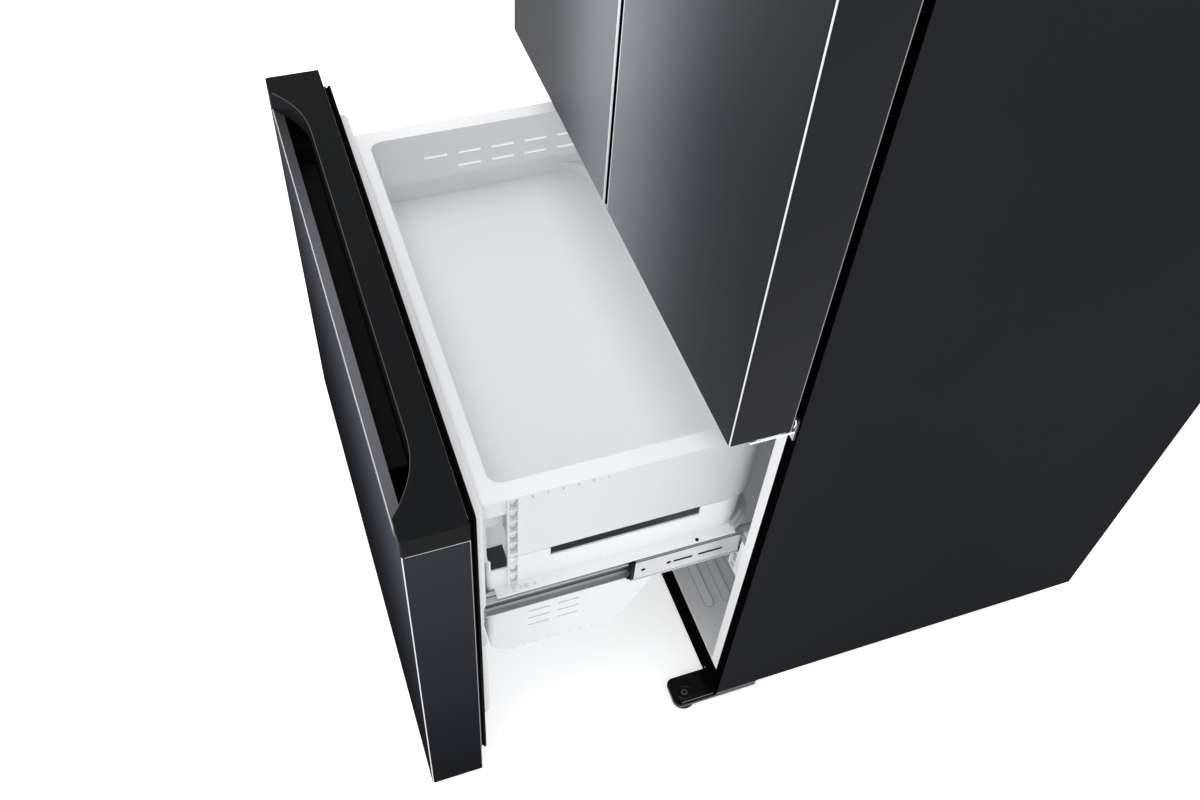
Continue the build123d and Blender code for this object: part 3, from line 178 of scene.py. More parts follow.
# ---- Materials ----
def moulded(name, first, second, roughness, specular=0.4, coat=0.0, grain=900, depth=0.00003):
    """Moulded plastic or rubber: faint clouding, a fine grain and an uneven gloss."""
    material, principled = shader(name, first, roughness, specular=specular, coat=coat)
    cloud = noise(material, 6, detail=2)
    fine = noise(material, grain, detail=2, seed=3)
    tint(material, cloud, first, second, principled.inputs["Base Color"])
    spread(material, cloud, roughness - 0.05, roughness + 0.07, principled.inputs["Roughness"])
    relief(material, principled, fine, 0.25, depth)
    return material


def graded(name, low, high, stops, roughness, specular):
    """Moulded plastic whose outer side faces darken from front to rear, painted shade."""
    material, principled = shader(name, stops[0][1], roughness, specular=specular)
    tree = material.node_tree
    place, normal = axes_of(tree, "Object"), axes_of(tree, "Normal")
    cloud = noise(material, 6, detail=2)
    along = math_node(tree, "MULTIPLY_ADD", cloud, 0.05, place["Y"])
    outward = math_node(tree, "MULTIPLY", normal["X"], place["X"])
    inner = math_node(tree, "LESS_THAN", outward, 0.15)
    tone = blend(tree, inner, tones(tree, along, low, high, stops), linear(stops[0][1]))
    tree.links.new(tone, principled.inputs["Base Color"])
    spread(material, cloud, roughness - 0.05, roughness + 0.07, principled.inputs["Roughness"])
    relief(material, principled, noise(material, 900, detail=2, seed=3), 0.25, 0.00003)
    return material


def brushed(name, first, second, roughness, metallic, along, specular=0.5):
    """Sheet metal with fine lines along one axis: 0, 1 or 2."""
    material, principled = shader(name, first, roughness, metallic, specular)
    stretch = [1, 1, 1]
    stretch[along] = brush_stretch
    lines = noise(material, 1500, stretch, detail=4)
    cloud = noise(material, 3, detail=2, seed=5)
    tint(material, cloud, first, second, principled.inputs["Base Color"])
    spread(material, lines, roughness - 0.06, roughness + 0.08, principled.inputs["Roughness"])
    relief(material, principled, lines, 0.12, 0.00002)
    return material


def tones(tree, value, low, high, stops):
    """A colour that changes smoothly as a value goes from low to high."""
    span = tree.nodes.new("ShaderNodeMapRange")
    span.inputs["From Min"].default_value = low
    span.inputs["From Max"].default_value = high
    ramp = tree.nodes.new("ShaderNodeValToRGB")
    ramp.color_ramp.interpolation = "B_SPLINE"
    marks = ramp.color_ramp.elements
    marks[0].position, marks[1].position = stops[0][0], stops[-1][0]
    marks[0].color, marks[1].color = linear(stops[0][1]), linear(stops[-1][1])
    for position, tone in stops[1:-1]:
        marks.new(position).color = linear(tone)
    tree.links.new(value, span.inputs["Value"])
    tree.links.new(span.outputs["Result"], ramp.inputs["Fac"])
    return ramp.outputs["Color"]


def door_sheet(name, axis, low, high, stops, flanks, folds, specular):
    """Dark brushed steel with painted light: its front's tone changes along an axis, its side
    faces' tone changes with height, and its up-facing folds are paler, a painted reflection.
    """
    material, principled = shader(name, stops[0][1], 0.42, specular=specular)
    tree = material.node_tree
    place, normal = axes_of(tree, "Object"), axes_of(tree, "Normal")
    flank = tones(tree, place["Z"], 0.03, 0.7, flanks)
    front = tones(tree, place[axis], low, high, stops)
    fold = tones(tree, place["X"], -case_half, case_half, folds)
    plain = blend(tree, math_node(tree, "LESS_THAN", normal["Y"], -facing), flank, front)
    steel = blend(tree, math_node(tree, "GREATER_THAN", normal["Z"], facing), plain, fold)
    tree.links.new(steel, principled.inputs["Base Color"])
    lines = noise(material, 1500, (1, 1, brush_stretch), detail=4)
    spread(material, lines, 0.38, 0.46, principled.inputs["Roughness"])
    relief(material, principled, lines, 0.05, 0.00001)
    return material


def coated_case():
    """The case's dark pebbled coating, which turns to plain black on its front flange."""
    material, principled = shader("case_coating", "2a2b2e", 0.6, specular=0.0)
    tree = material.node_tree
    pebble = noise(material, 620, detail=2)
    cloud = noise(material, 2.2, detail=3, seed=9)
    ramp = tree.nodes.new("ShaderNodeValToRGB")
    ramp.color_ramp.elements[0].color = linear("25262a")
    ramp.color_ramp.elements[1].color = linear("2b2c2f")
    tree.links.new(cloud, ramp.inputs["Fac"])
    front = math_node(tree, "LESS_THAN", axes_of(tree, "Normal")["Y"], -facing)
    coating = blend(tree, front, ramp.outputs["Color"], linear("060607"))
    tree.links.new(coating, principled.inputs["Base Color"])
    spread(material, cloud, 0.5, 0.6, principled.inputs["Roughness"])
    relief(material, principled, pebble, 0.2, 0.00008)
    return material


def galvanised():
    """Bare zinc-coated sheet with soft spangles."""
    material, principled = shader("galvanised", "8b8d90", 0.45, metallic=0.75)
    tree = material.node_tree
    place = tree.nodes.new("ShaderNodeTexCoord")
    spangle = tree.nodes.new("ShaderNodeTexVoronoi")
    spangle.inputs["Scale"].default_value = 240
    tree.links.new(place.outputs["Object"], spangle.inputs["Vector"])
    grey = tree.nodes.new("ShaderNodeSeparateColor")
    tree.links.new(spangle.outputs["Color"], grey.inputs["Color"])
    tint(material, grey.outputs["Red"], "86888b", "909296", principled.inputs["Base Color"])
    spread(material, grey.outputs["Green"], 0.42, 0.5, principled.inputs["Roughness"])
    relief(material, principled, noise(material, 300), 0.15, 0.00004)
    return material


def clear(name, colour, roughness, tone):
    """Clear moulded plastic or glass with a slight tint and an uneven surface."""
    material, principled = shader(name, colour, roughness, transmission=0.92)
    principled.inputs["IOR"].default_value = 1.45
    cloud = noise(material, 8, detail=2)
    tint(material, cloud, colour, tone, principled.inputs["Base Color"])
    spread(material, cloud, roughness, roughness + 0.05, principled.inputs["Roughness"])
    relief(material, principled, noise(material, 60, seed=2), 0.05, 0.0001)
    return material


def foam_material():
    """Rigid foam: open-celled and cream."""
    material, principled = shader("foam", "d9c99a", 0.9, specular=0.1)
    cells = noise(material, 900, detail=4)
    tint(material, noise(material, 9), "d2c08e", "e2d4a8", principled.inputs["Base Color"])
    relief(material, principled, cells, 0.6, 0.0004)
    return material


case_paint = coated_case()
# Up-facing folds: dark at the far left and paler towards the middle and right, a painted
# reflection of the sky.
top_fold_sheen = ((0.0, "26272a"), (0.3, "55565b"), (0.5, "6b6c71"), (1.0, "5c5d62"))
# Door fronts: a pale band down the middle, where the doors meet, a painted reflection; their sides
# keep one even tone.
door_steel = door_sheet("door_steel", "X", -case_half, case_half, (
    (0.0, "1f2024"), (0.22, "303136"), (0.32, "58595f"), (0.42, "808187"), (0.5, "828389"),
    (0.58, "73747a"), (0.68, "54555b"), (0.8, "2b2c31"), (1.0, "1e1f23"),
), ((0.0, "232428"), (1.0, "232428")), top_fold_sheen, 0.04)
# Drawer front and sides: lighter towards the top and darker towards the bottom, painted light and
# shade.
drawer_steel = door_sheet("drawer_steel", "Z", 27 * mm, 687 * mm, (
    (0.0, "16171a"), (0.5, "242529"), (0.8, "3a3b41"), (1.0, "494a50"),
), ((0.0, "1b1c20"), (0.5, "2a2b30"), (1.0, "3a3b41")), top_fold_sheen, 0.0)
# Pale metal: painted highlights on the steel's edges and joints and in the rails, and the colour
# of the shelves' real front trims.
highlight_and_trim_metal = brushed("highlight_and_trim_metal", "d4d5d8", "e2e3e5", 0.4, 0.25, 2)
# Grey: painted highlights on rear folds and on the leg brackets' outer edges, and the colour of
# real trim bands and the mullion plate.
sheen_and_trim_grey = brushed("sheen_and_trim_grey", "88898d", "97989c", 0.45, 0.2, 2)
chrome = brushed("chrome", "dfe1e4", "eceef0", 0.18, 0.9, 0)
trim_plastic = moulded("trim_plastic", "161718", "191a1b", 0.55, specular=0.03)
# Grey for a painted highlight round the grip's notch.
grip_highlight_grey = moulded("grip_highlight_grey", "4c4e50", "58595b", 0.4, specular=0.3)
black_paint = moulded("black_paint", "060607", "0a0a0b", 0.22, specular=0.3, grain=260)
base_black = moulded("base_black", "070708", "09090a", 0.5, specular=0.0)
black_plastic = moulded("black_plastic", "09090a", "0d0d0f", 0.5, specular=0.1)
# Near-black: painted shade in the door gap and at the grip's pocket ends, and the colour of real
# dark joints.
shade_and_joint_black = moulded("shade_and_joint_black", "020203", "040405", 0.6, specular=0.0)
rail_black = moulded("rail_black", "050506", "08080a", 0.55, specular=0.08)
rubber = moulded("gasket_rubber", "060607", "09090b", 0.6, specular=0.02, grain=1400)
white_liner = moulded("white_liner", "f5f6f7", "f7f8f8", 0.42, specular=0.2)
white_bin = moulded("white_bin", "f5f6f7", "f7f8f9", 0.38, specular=0.25)
# Tray sides: darker towards the rear, where they turn away into the cabinet: painted shade.
tray_white = graded("tray_white", pulled + 17 * mm, pulled + 410 * mm, (
    (0.0, "f6f7f8"), (0.35, "eceded"), (0.8, "dcdddf"), (1.0, "c2c4c7"),
), 0.38, 0.2)
white_duct = moulded("white_duct", "f0f1f2", "f3f4f4", 0.45, specular=0.25)
# A white that glows faintly, though it is no lamp: painted light, for the slots in the tray's
# wall.
glowing_white = moulded("glowing_white", "fcfcfc", "ffffff", 0.4, specular=0.2)
glow = glowing_white.node_tree.nodes["Principled BSDF"].inputs
glow["Emission Color"].default_value = (1, 1, 1, 1)
glow["Emission Strength"].default_value = 0.3
shaded_white = moulded("shaded_white", "cbcdd0", "d2d4d6", 0.45, specular=0.2)
# A darker copy of the bin's white for the ledge bosses and the bin's teeth: painted shade.
shaded_boss_white = moulded("shaded_boss_white", "dcdee0", "e3e4e6", 0.45, specular=0.2)
# Grey for the lines round the freezer floor's ribs: painted shade.
rib_shade_grey = moulded("rib_shade_grey", "a4a6a8", "adafb1", 0.5, specular=0.1)
copper = brushed("copper", "b0704a", "bb7c55", 0.3, 0.9, 2)
grey_plastic = moulded("grey_plastic", "7c7e80", "88898b", 0.45)
rail_steel = brushed("rail_steel", "c3c5c8", "d2d4d6", 0.32, 0.7, 1)
# A darker grey than the rail steel: painted shade on the ridges in the inner members' channels.
rail_mid = brushed("rail_mid", "787a7d", "85878a", 0.4, 0.4, 1)
rail_shade = brushed("rail_shade", "47494b", "535557", 0.4, 0.6, 1)
zinc = brushed("zinc", "cfd1d5", "dcdee1", 0.26, 0.85, 0)
rear_steel = galvanised()
coil_metal = brushed("coil_metal", "b4b6b8", "c4c6c8", 0.35, 0.9, 2)
fan_plastic = moulded("fan_plastic", "4c4e50", "5a5c5e", 0.45)
shelf_glass = clear("shelf_glass", "e4f2ee", 0.02, "d8ece6")
crisper_clear = clear("crisper_clear", "e9eff4", 0.08, "dfe8ef")
lens_plastic = moulded("lens_plastic", "f3f3ee", "fbfbf7", 0.5)
foam = foam_material()

finishes = {
    "case_steel": case_paint, "door_steel": door_steel, "trim_black": trim_plastic,
    "black_metal": black_paint, "rear_steel": rear_steel, "liner_white": white_liner,
    "bin_white": white_bin, "gasket_black": rubber, "foam": foam, "rail_steel": rail_steel,
    "zinc": zinc, "shelf_glass": shelf_glass, "crisper_clear": crisper_clear,
    "lens": lens_plastic, "coil": coil_metal, "compressor_black": black_paint,
    "fan_grey": fan_plastic, "foot_black": black_plastic, "duct_white": white_duct,
}
own_finish = {
    "drawer_skin": drawer_steel, "upper_tray": tray_white, "middle_hinges": chrome,
    "front_base_rail": base_black, "divider_rail": base_black,
}
for entry in frame["record"]["subparts"]:
    node = frame["nodes"][entry["node"]]
    finish = finishes[entry["material_slot"]]
    if not node.material_slots:
        node.data.materials.append(finish)
    for place in node.material_slots:
        place.material = own_finish.get(entry["node"], finish)


# ---- Mesh helpers ----
sharp_angle = 0.6  # radians between faces, from which an edge stays sharp


def piece(name, mesh, body, material, smooth=True):
    """Wraps a bmesh as a named piece that rides on a body."""
    bmesh.ops.recalc_face_normals(mesh, faces=mesh.faces)
    data = bpy.data.meshes.new(name)
    mesh.to_mesh(data)
    mesh.free()
    thing = bpy.data.objects.new(name, data)
    bpy.context.scene.collection.objects.link(thing)
    data.materials.append(material)
    if smooth:
        data.shade_smooth()
        data.set_sharp_from_angle(angle=sharp_angle)
    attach(thing, body)
    return thing


def add_block(mesh, low, high, bevel=0.0, segments=2):
    """A bevelled block between two corners."""
    low, high = Vector(low), Vector(high)
    size = Vector([abs(high[i] - low[i]) for i in range(3)])
    made = bmesh.ops.create_cube(mesh, size=1)
    corners = made["verts"]
    bmesh.ops.scale(mesh, vec=size, verts=corners)
    bmesh.ops.translate(mesh, vec=(low + high) / 2, verts=corners)
    if bevel:
        edges = {edge for corner in corners for edge in corner.link_edges}
        bmesh.ops.bevel(
            mesh, geom=list(edges), offset=bevel, segments=segments, affect="EDGES", profile=0.5
        )


def add_bar(mesh, side, x, y, z, bevel=0.0):
    """A block on one side: mirrored X and Z in millimetres, and its run along Y in metres."""
    add_block(
        mesh, (side * x[0] * mm, y[0], z[0] * mm), (side * x[1] * mm, y[1], z[1] * mm), bevel
    )


def join_rings(mesh, ring, after):
    """A band of faces between two closed rings of as many points."""
    count = len(ring)
    for i in range(count):
        k = (i + 1) % count
        mesh.faces.new((ring[i], ring[k], after[k], after[i]))


def close_ends(mesh, rings):
    """Faces over the first and the last ring."""
    mesh.faces.new(list(reversed(rings[0])))
    mesh.faces.new(rings[-1])


def add_sweep(mesh, path, section, closed=False):
    """Sweeps a section, given as (across, up) pairs for each path frame, and caps open ends."""
    rings = []
    for origin, across, up in path:
        rings.append([mesh.verts.new(origin + across * a + up * b) for a, b in section])
    spans = len(rings) if closed else len(rings) - 1
    for i in range(spans):
        join_rings(mesh, rings[i], rings[(i + 1) % len(rings)])
    if not closed:
        close_ends(mesh, rings)


def circle(radius, count=16):
    """Pairs of places round a circle."""
    turns = [2 * pi * i / count for i in range(count)]
    return [(radius * cos(turn), radius * sin(turn)) for turn in turns]


def frames_along(points):
    """Frames for a sweep: each point with two directions square to the path there."""
    points = [Vector(p) for p in points]
    frames = []
    up = Vector((0, 0, 1))
    for i, point in enumerate(points):
        ahead = points[min(i + 1, len(points) - 1)] - points[max(i - 1, 0)]
        ahead.normalize()
        if abs(ahead.dot(up)) > 0.9:
            up = Vector((0, 1, 0))
        across = ahead.cross(up).normalized()
        frames.append((point, across, across.cross(ahead).normalized()))
        up = frames[-1][2]
    return frames


def add_tube(mesh, points, radius, count=12):
    """A round wire or tube along points."""
    add_sweep(mesh, frames_along(points), circle(radius, count))


def arc(centre, radius, first, last, axis_a, axis_b, count):
    """Points on an arc in the plane of two axes, angles in degrees."""
    centre, axis_a, axis_b = Vector(centre), Vector(axis_a), Vector(axis_b)
    points = []
    for i in range(count + 1):
        angle = (first + (last - first) * i / count) * pi / 180
        points.append(centre + axis_a * radius * cos(angle) + axis_b * radius * sin(angle))
    return points


def add_ribbon(mesh, line, shift, thickness):
    """A thin strip: a line of points drawn along shift, thickened towards its first side."""
    line = [Vector(p) for p in line]
    shift = Vector(shift)
    count = len(line)
    rows = []
    for offset in (Vector(), shift):
        rows.append([mesh.verts.new(point + offset) for point in line])
    faces = []
    for i in range(count - 1):
        faces.append(mesh.faces.new((rows[0][i], rows[0][i + 1], rows[1][i + 1], rows[1][i])))
    bmesh.ops.recalc_face_normals(mesh, faces=faces)
    bmesh.ops.solidify(mesh, geom=faces, thickness=thickness)


box_faces = ((0, 1, 3, 2), (4, 6, 7, 5), (0, 4, 5, 1), (2, 3, 7, 6), (0, 2, 6, 4), (1, 5, 7, 3))


def upright(place, normal):
    """The placing that stands a shape made along Z on a surface."""
    turn = Vector(normal).to_track_quat("Z", "Y").to_matrix().to_4x4()
    return Matrix.Translation(Vector(place)) @ turn


def add_turned(mesh, at, profile):
    """A shape turned about the Z of a placing, from pairs of radius and height."""
    rings = []
    for reach, level in profile:
        rings.append([mesh.verts.new(at @ Vector((x, y, level))) for x, y in circle(reach, 20)])
    for lower, upper in zip(rings, rings[1:]):
        join_rings(mesh, lower, upper)
    close_ends(mesh, rings)


def add_screw(mesh, place, normal, radius, height):
    """A pan head with a cross recess."""
    at = upright(place, normal)
    add_turned(mesh, at, ((radius, 0), (radius, height * 0.45), (radius * 0.86, height * 0.8),
                          (radius * 0.6, height)))
    for turn_by in (0, pi / 2):
        arm = Matrix.Rotation(turn_by, 4, "Z")
        low = Vector((-radius * 0.5, -radius * 0.09, height * 0.99))
        high = Vector((radius * 0.5, radius * 0.09, height * 1.02))
        corners = [Vector((x, y, z)) for x in (low.x, high.x) for y in (low.y, high.y)
                   for z in (low.z, high.z)]
        made = [mesh.verts.new(at @ arm @ corner) for corner in corners]
        for quad in box_faces:
            mesh.faces.new([made[i] for i in quad])


def rounded_loop(x0, x1, z0, z1, radius, steps=4):
    """Points round a rectangle with rounded corners, in X and Z."""
    points = []
    corners = ((x1 - radius, z1 - radius, 0), (x0 + radius, z1 - radius, 90),
               (x0 + radius, z0 + radius, 180), (x1 - radius, z0 + radius, 270))
    for cx, cz, start in corners:
        for i in range(steps + 1):
            angle = (start + 90 * i / steps) * pi / 180
            points.append((cx + radius * cos(angle), cz + radius * sin(angle)))
    return points


def add_prism(mesh, outline, low, high):
    """A flat plate: an outline in plan, from low to high."""
    rings = [[mesh.verts.new((x, y, z)) for x, y in outline] for z in (low, high)]
    join_rings(mesh, *rings)
    close_ends(mesh, rings)


def add_dome(mesh, place, normal, radius, height):
    """A low rounded cap on a surface."""
    turns = [step * pi / 10 for step in range(5)]
    profile = [(radius * cos(turn), height * sin(turn)) for turn in turns]
    add_turned(mesh, upright(place, normal), profile)


def add_ring(mesh, place, axis, radius, thickness, count=32):
    """A round wire bent to a circle square to an axis."""
    at = upright(place, axis)
    path = []
    for x, y in circle(1, count):
        out = Vector((x, y, 0))
        path.append((at @ (out * radius), at.to_3x3() @ out, at.to_3x3() @ Vector((0, 0, 1))))
    add_sweep(mesh, path, circle(thickness, 8), closed=True)


def bezier(ends, count=16):
    """Points in plan on a curve between four control points."""
    points = []
    for i in range(count + 1):
        t = i / count
        weights = ((1 - t) ** 3, 3 * t * (1 - t) ** 2, 3 * t * t * (1 - t), t ** 3)
        points.append(tuple(sum(w * end[k] for w, end in zip(weights, ends)) for k in (0, 1)))
    return points


# ---- Gaskets: the bellows section all round each door and the drawer ----
gasket_section = (  # in from the outer edge, and back from the plate, in millimetres
    (0.6, 0), (0.4, 2.0), (2.6, 2.9), (3.2, 3.9), (2.4, 4.9), (0.3, 5.6), (0.0, 8.3), (0.9, 9.1),
    (5.4, 9.1), (6.2, 8.3), (7.6, 8.3), (8.4, 9.1), (15.0, 9.1), (16.2, 8.2), (16.0, 6.2),
    (13.6, 5.2), (13.2, 3.6), (15.2, 2.4), (19.2, 1.8), (19.4, 0),
)


def gasket(node, body):
    """The bellows ring that stands for one plain gasket."""
    low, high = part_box(node)
    mesh = bmesh.new()
    rings = []
    for inset, back in gasket_section:
        reach = inset * mm
        radius = max(9 * mm - reach, 2 * mm)
        loop = rounded_loop(low.x + reach, high.x - reach, low.z + reach, high.z - reach, radius)
        rings.append([mesh.verts.new((x, low.y + back * mm, z)) for x, z in loop])
    rings.append(rings[0])
    for ring, after in zip(rings, rings[1:]):
        join_rings(mesh, ring, after)
    seal = piece(f"seal_{body}", mesh, body, rubber)
    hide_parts(node)


gasket("door_gasket_left", "left_door")
gasket("door_gasket_right", "right_door")
gasket("drawer_gasket", "drawer")


# ---- Painted highlights on the folded edges of the door and drawer steel, and painted shade in the gap between the doors ----
def edge_line(mesh, x, side, y, low, high, first=34, last=60):
    """A narrow strip on an upright front corner; side is the way that corner faces along X."""
    centre = (x - side * edge_radius, y + edge_radius, low)
    line = arc(centre, edge_radius + 0.06 * mm, first, last, (side, 0, 0), (0, -1, 0), 6)
    add_ribbon(mesh, line, (0, 0, high - low), 0.05 * mm)


def rear_line(mesh, x, side, y, low, high):
    """A strip on the fold at the rear of a side face, which carries a painted highlight."""
    add_block(
        mesh, (x - side * 0.3 * mm, y - 0.9 * mm, low), (x + side * 0.05 * mm, y + 0.05 * mm, high)
    )


def face_line(mesh, near, far, y, low, high):
    """An upright strip on a front face, between two places along X."""
    add_block(
        mesh, (near, y - 0.06 * mm, low + 0.5 * mm), (far, y + 0.02 * mm, high - 0.5 * mm)
    )


for side, hand in sides:
    low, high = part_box(f"door_skin_{hand}")
    outer, free = (high.x, low.x) if side > 0 else (low.x, high.x)
    # Pale strips on the outer and free front corners and beside the gap: painted highlights.
    bright = bmesh.new()
    edge_line(bright, outer, side, low.y, low.z, high.z)
    # Black strips on each free edge and, on the right door, on the front beside it: painted shade
    # in the gap, wider than the gap itself.
    dark = bmesh.new()
    if side > 0:
        edge_line(dark, free, -side, low.y, low.z, high.z, 0, 90)
        rim = free + edge_radius + 1 * mm
        face_line(dark, free + edge_radius, rim, low.y, low.z, high.z)
        face_line(bright, rim, rim + 2.4 * mm, low.y, low.z, high.z)
    else:
        edge_line(dark, free, -side, low.y, low.z, high.z, 0, 48)
        edge_line(bright, free, -side, low.y, low.z, high.z, 50, 90)
        rim = free - edge_radius
        face_line(bright, rim - 2.6 * mm, rim, low.y, low.z, high.z)
    add_block(
        dark, (free - side * 0.12 * mm, low.y + edge_radius, low.z + 1 * mm),
        (free + side * 0.3 * mm, high.y - 2 * mm, high.z - 1 * mm),
    )
    piece(f"door_edge_highlights_{hand}", bright, f"{hand}_door", highlight_and_trim_metal)
    piece(f"door_gap_shade_{hand}", dark, f"{hand}_door", shade_and_joint_black, smooth=False)
    # A grey line on the rear fold of the side face: painted highlight.
    fold = bmesh.new()
    rear_line(fold, outer, side, high.y, low.z, high.z)
    piece(f"door_fold_highlight_{hand}", fold, f"{hand}_door", sheen_and_trim_grey, smooth=False)

# Painted highlights down the drawer's front corners and along the steel's top front edge.
bright = bmesh.new()
edge_line(bright, steel_high.x, 1, steel_low.y, steel_low.z, steel_high.z)
edge_line(bright, steel_low.x, -1, steel_low.y, steel_low.z, steel_high.z)
grip_half = 385 * mm
top_line = arc(
    (-grip_half, steel_low.y + 1.1 * mm, steel_high.z - 1.1 * mm), 1.3 * mm, 0, 90,
    (0, -1, 0), (0, 0, 1), 5,
)
add_ribbon(bright, top_line, (2 * grip_half, 0, 0), 0.35 * mm)
piece("drawer_edge_highlights", bright, "drawer", highlight_and_trim_metal)

# Pale lines on the rear folds of the drawer's sides and along the top edges of its side faces:
# painted highlights.
joint = bmesh.new()
lid = bmesh.new()
for side, hand in sides:
    rear_line(joint, side * case_half, side, steel_high.y, steel_low.z, steel_high.z)
    add_block(
        lid, (side * (case_half - 0.3 * mm), steel_low.y + edge_radius, steel_high.z - 0.7 * mm),
        (side * (case_half + 0.06 * mm), steel_high.y, steel_high.z + 0.1 * mm),
    )
piece("drawer_rear_highlights", joint, "drawer", sheen_and_trim_grey, smooth=False)
piece("drawer_joint_highlights", lid, "drawer", highlight_and_trim_metal, smooth=False)


# ---- Grip of the drawer front: a painted highlight round the notch, and black plates of painted shade at the pocket ends ----
face = steel_low.y
steel_top = steel_high.z
pocket_end = 297.5 * mm
lip_end = face + 14 * mm
notch = {}
for side, hand in sides:
    notch[side] = bezier((
        (side * grip_half, face - 1 * mm), (side * (grip_half - 35 * mm), face + 28 * mm),
        (side * (grip_half - 65 * mm), face + 41.5 * mm),
        (side * (grip_half - 110 * mm), face + 41.5 * mm),
    ))
# A grey line along the notch's top edge: painted highlight.
rim = bmesh.new()
round_notch = [p for p in notch[1] if p[1] > face + 0.4 * mm]
round_notch += list(reversed([p for p in notch[-1] if p[1] > face + 0.4 * mm]))
add_tube(rim, [(x, y, trim_top - 0.2 * mm) for x, y in round_notch], 0.42 * mm, 8)
piece("grip_edge_highlight", rim, "drawer", grip_highlight_grey)
# Black plates over the foam at the pocket ends, darker than the trim: painted shade in the pocket.
shade = bmesh.new()
for side, hand in sides:
    curve = [p for p in notch[side] if p[1] > lip_end and abs(p[0]) > pocket_end]
    first = next(p for p in notch[side] if p[1] > lip_end)
    outline = [(side * (pocket_end - 1 * mm), lip_end), (first[0], lip_end)]
    outline += curve + [(side * (pocket_end - 1 * mm), curve[-1][1])]
    add_prism(shade, outline, steel_top, steel_top + 0.3 * mm)
piece("grip_end_shade", shade, "drawer", shade_and_joint_black, smooth=False)

# ---- Rails: painted shade, shaded ridges and painted highlights in the inner members; painted shade in the middle ones' slots, holes and grooves; end clips and brackets ----
inner_web = 349.5  # the places along X are in millimetres, as add_bar takes them
inner_lip = 359.0
middle_face = 362.5
middle_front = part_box("rail_middle_right")[0].y
track_run = (pulled + 18 * mm, pulled + 496 * mm)
middle_run = (middle_front + 3 * mm, middle_front + 470 * mm)
bracket_run = (case_front + 1.7 * mm, case_front + 2.4 * mm)
for side, hand in sides:
    middle_body = f"rail_mid_{hand}"
    # Dark strips on the inner member's web: painted shade in its channel.
    track = bmesh.new()
    for z in ((396.6, 403.4), (423.0, 427.0)):
        add_bar(track, side, (inner_web, inner_web + 0.5), track_run, z, 0.1 * mm)
    piece(f"rail_channel_shade_{hand}", track, "drawer", rail_shade)
    # Ridges in a darker grey than the rail steel: painted shade.
    ridge = bmesh.new()
    for level in (404.6, 409.4, 414.2, 419.0):
        add_bar(
            ridge, side, (inner_web, inner_web + 0.9), track_run, (level, level + 2.6), 0.5 * mm
        )
    piece(f"rail_ridges_{hand}", ridge, "drawer", rail_mid)
    # Pale strips on the web and along the lip: painted highlights.
    shine = bmesh.new()
    add_bar(shine, side, (inner_web, inner_web + 0.4), track_run, (428.2, 433.4), 0.1 * mm)
    add_bar(shine, side, (inner_lip - 0.1, inner_lip + 0.1), track_run, (390.7, 392.4), 0.05 * mm)
    piece(f"rail_shine_{hand}", shine, "drawer", highlight_and_trim_metal)
    # A black sheet behind the middle member's web, which darkens its slots: painted shade.
    slot_shade = bmesh.new()
    slot_shade_run = (middle_front + 6 * mm, middle_front + 300 * mm)
    add_bar(slot_shade, side, (360.1, 360.7), slot_shade_run, (399, 417), 0.1 * mm)
    piece(f"rail_slot_shade_{hand}", slot_shade, middle_body, rail_black)
    clip = bmesh.new()
    clip_run = (middle_front - 3 * mm, middle_front + 3 * mm)
    add_bar(clip, side, (359.5, middle_face + 0.2), clip_run, (388, 433.4), 0.4 * mm)
    prong_run = (middle_front - 7 * mm, middle_front - 2 * mm)
    for level in (391, 411, 428):
        add_bar(clip, side, (359.5, 361.9), prong_run, (level, level + 3.4), 0.5 * mm)
    piece(f"rail_clip_{hand}", clip, middle_body, rail_black)
    # Black lines along the middle member's face and black plates on its slots and holes: painted
    # shade in its grooves and openings.
    hole_shade = bmesh.new()
    add_bar(hole_shade, side, (middle_face - 0.2, 362.8), middle_run, (431.2, 432.6), 0.1 * mm)
    add_bar(hole_shade, side, (middle_face - 0.2, 362.7), middle_run, (386.6, 387.4), 0.1 * mm)
    for place, length in ((61, 26), (98, 34), (160, 30), (230, 0)):
        slot_run = (middle_front + (place - 1) * mm, middle_front + (place + length + 1) * mm)
        add_bar(hole_shade, side, (362.2, 362.66), slot_run, (405.6, 410.4), 0.1 * mm)
    for place in (15.5, 53):
        middle = (side * 362.4 * mm, middle_front + place * mm, 408 * mm)
        add_dome(hole_shade, middle, (side, 0, 0), 3.7 * mm, 0.3 * mm)
    piece(f"rail_opening_shade_{hand}", hole_shade, middle_body, rail_black)
    cap = bmesh.new()
    cap_run = (case_front + 0.4 * mm, case_front + 2.4 * mm)
    add_bar(cap, side, (365.2, 377.4), cap_run, (421, 435.2), 0.6 * mm)
    piece(f"bracket_cap_{hand}", cap, "cabinet", grey_plastic)
    catch = bmesh.new()
    for x, z in (((366.5, 377.4), (354, 419)), ((352.6, 377.4), (351, 355.5)),
                 ((352.6, 355.0), (354, 366))):
        add_bar(catch, side, x, bracket_run, z, 0.2 * mm)
    piece(f"bracket_catch_{hand}", catch, "cabinet", white_duct)
    stop = bmesh.new()
    for z in ((388, 402), (405, 419)):
        add_bar(stop, side, (363.3, 365.6), bracket_run, z, 0.2 * mm)
    piece(f"bracket_stop_{hand}", stop, "cabinet", rail_black)

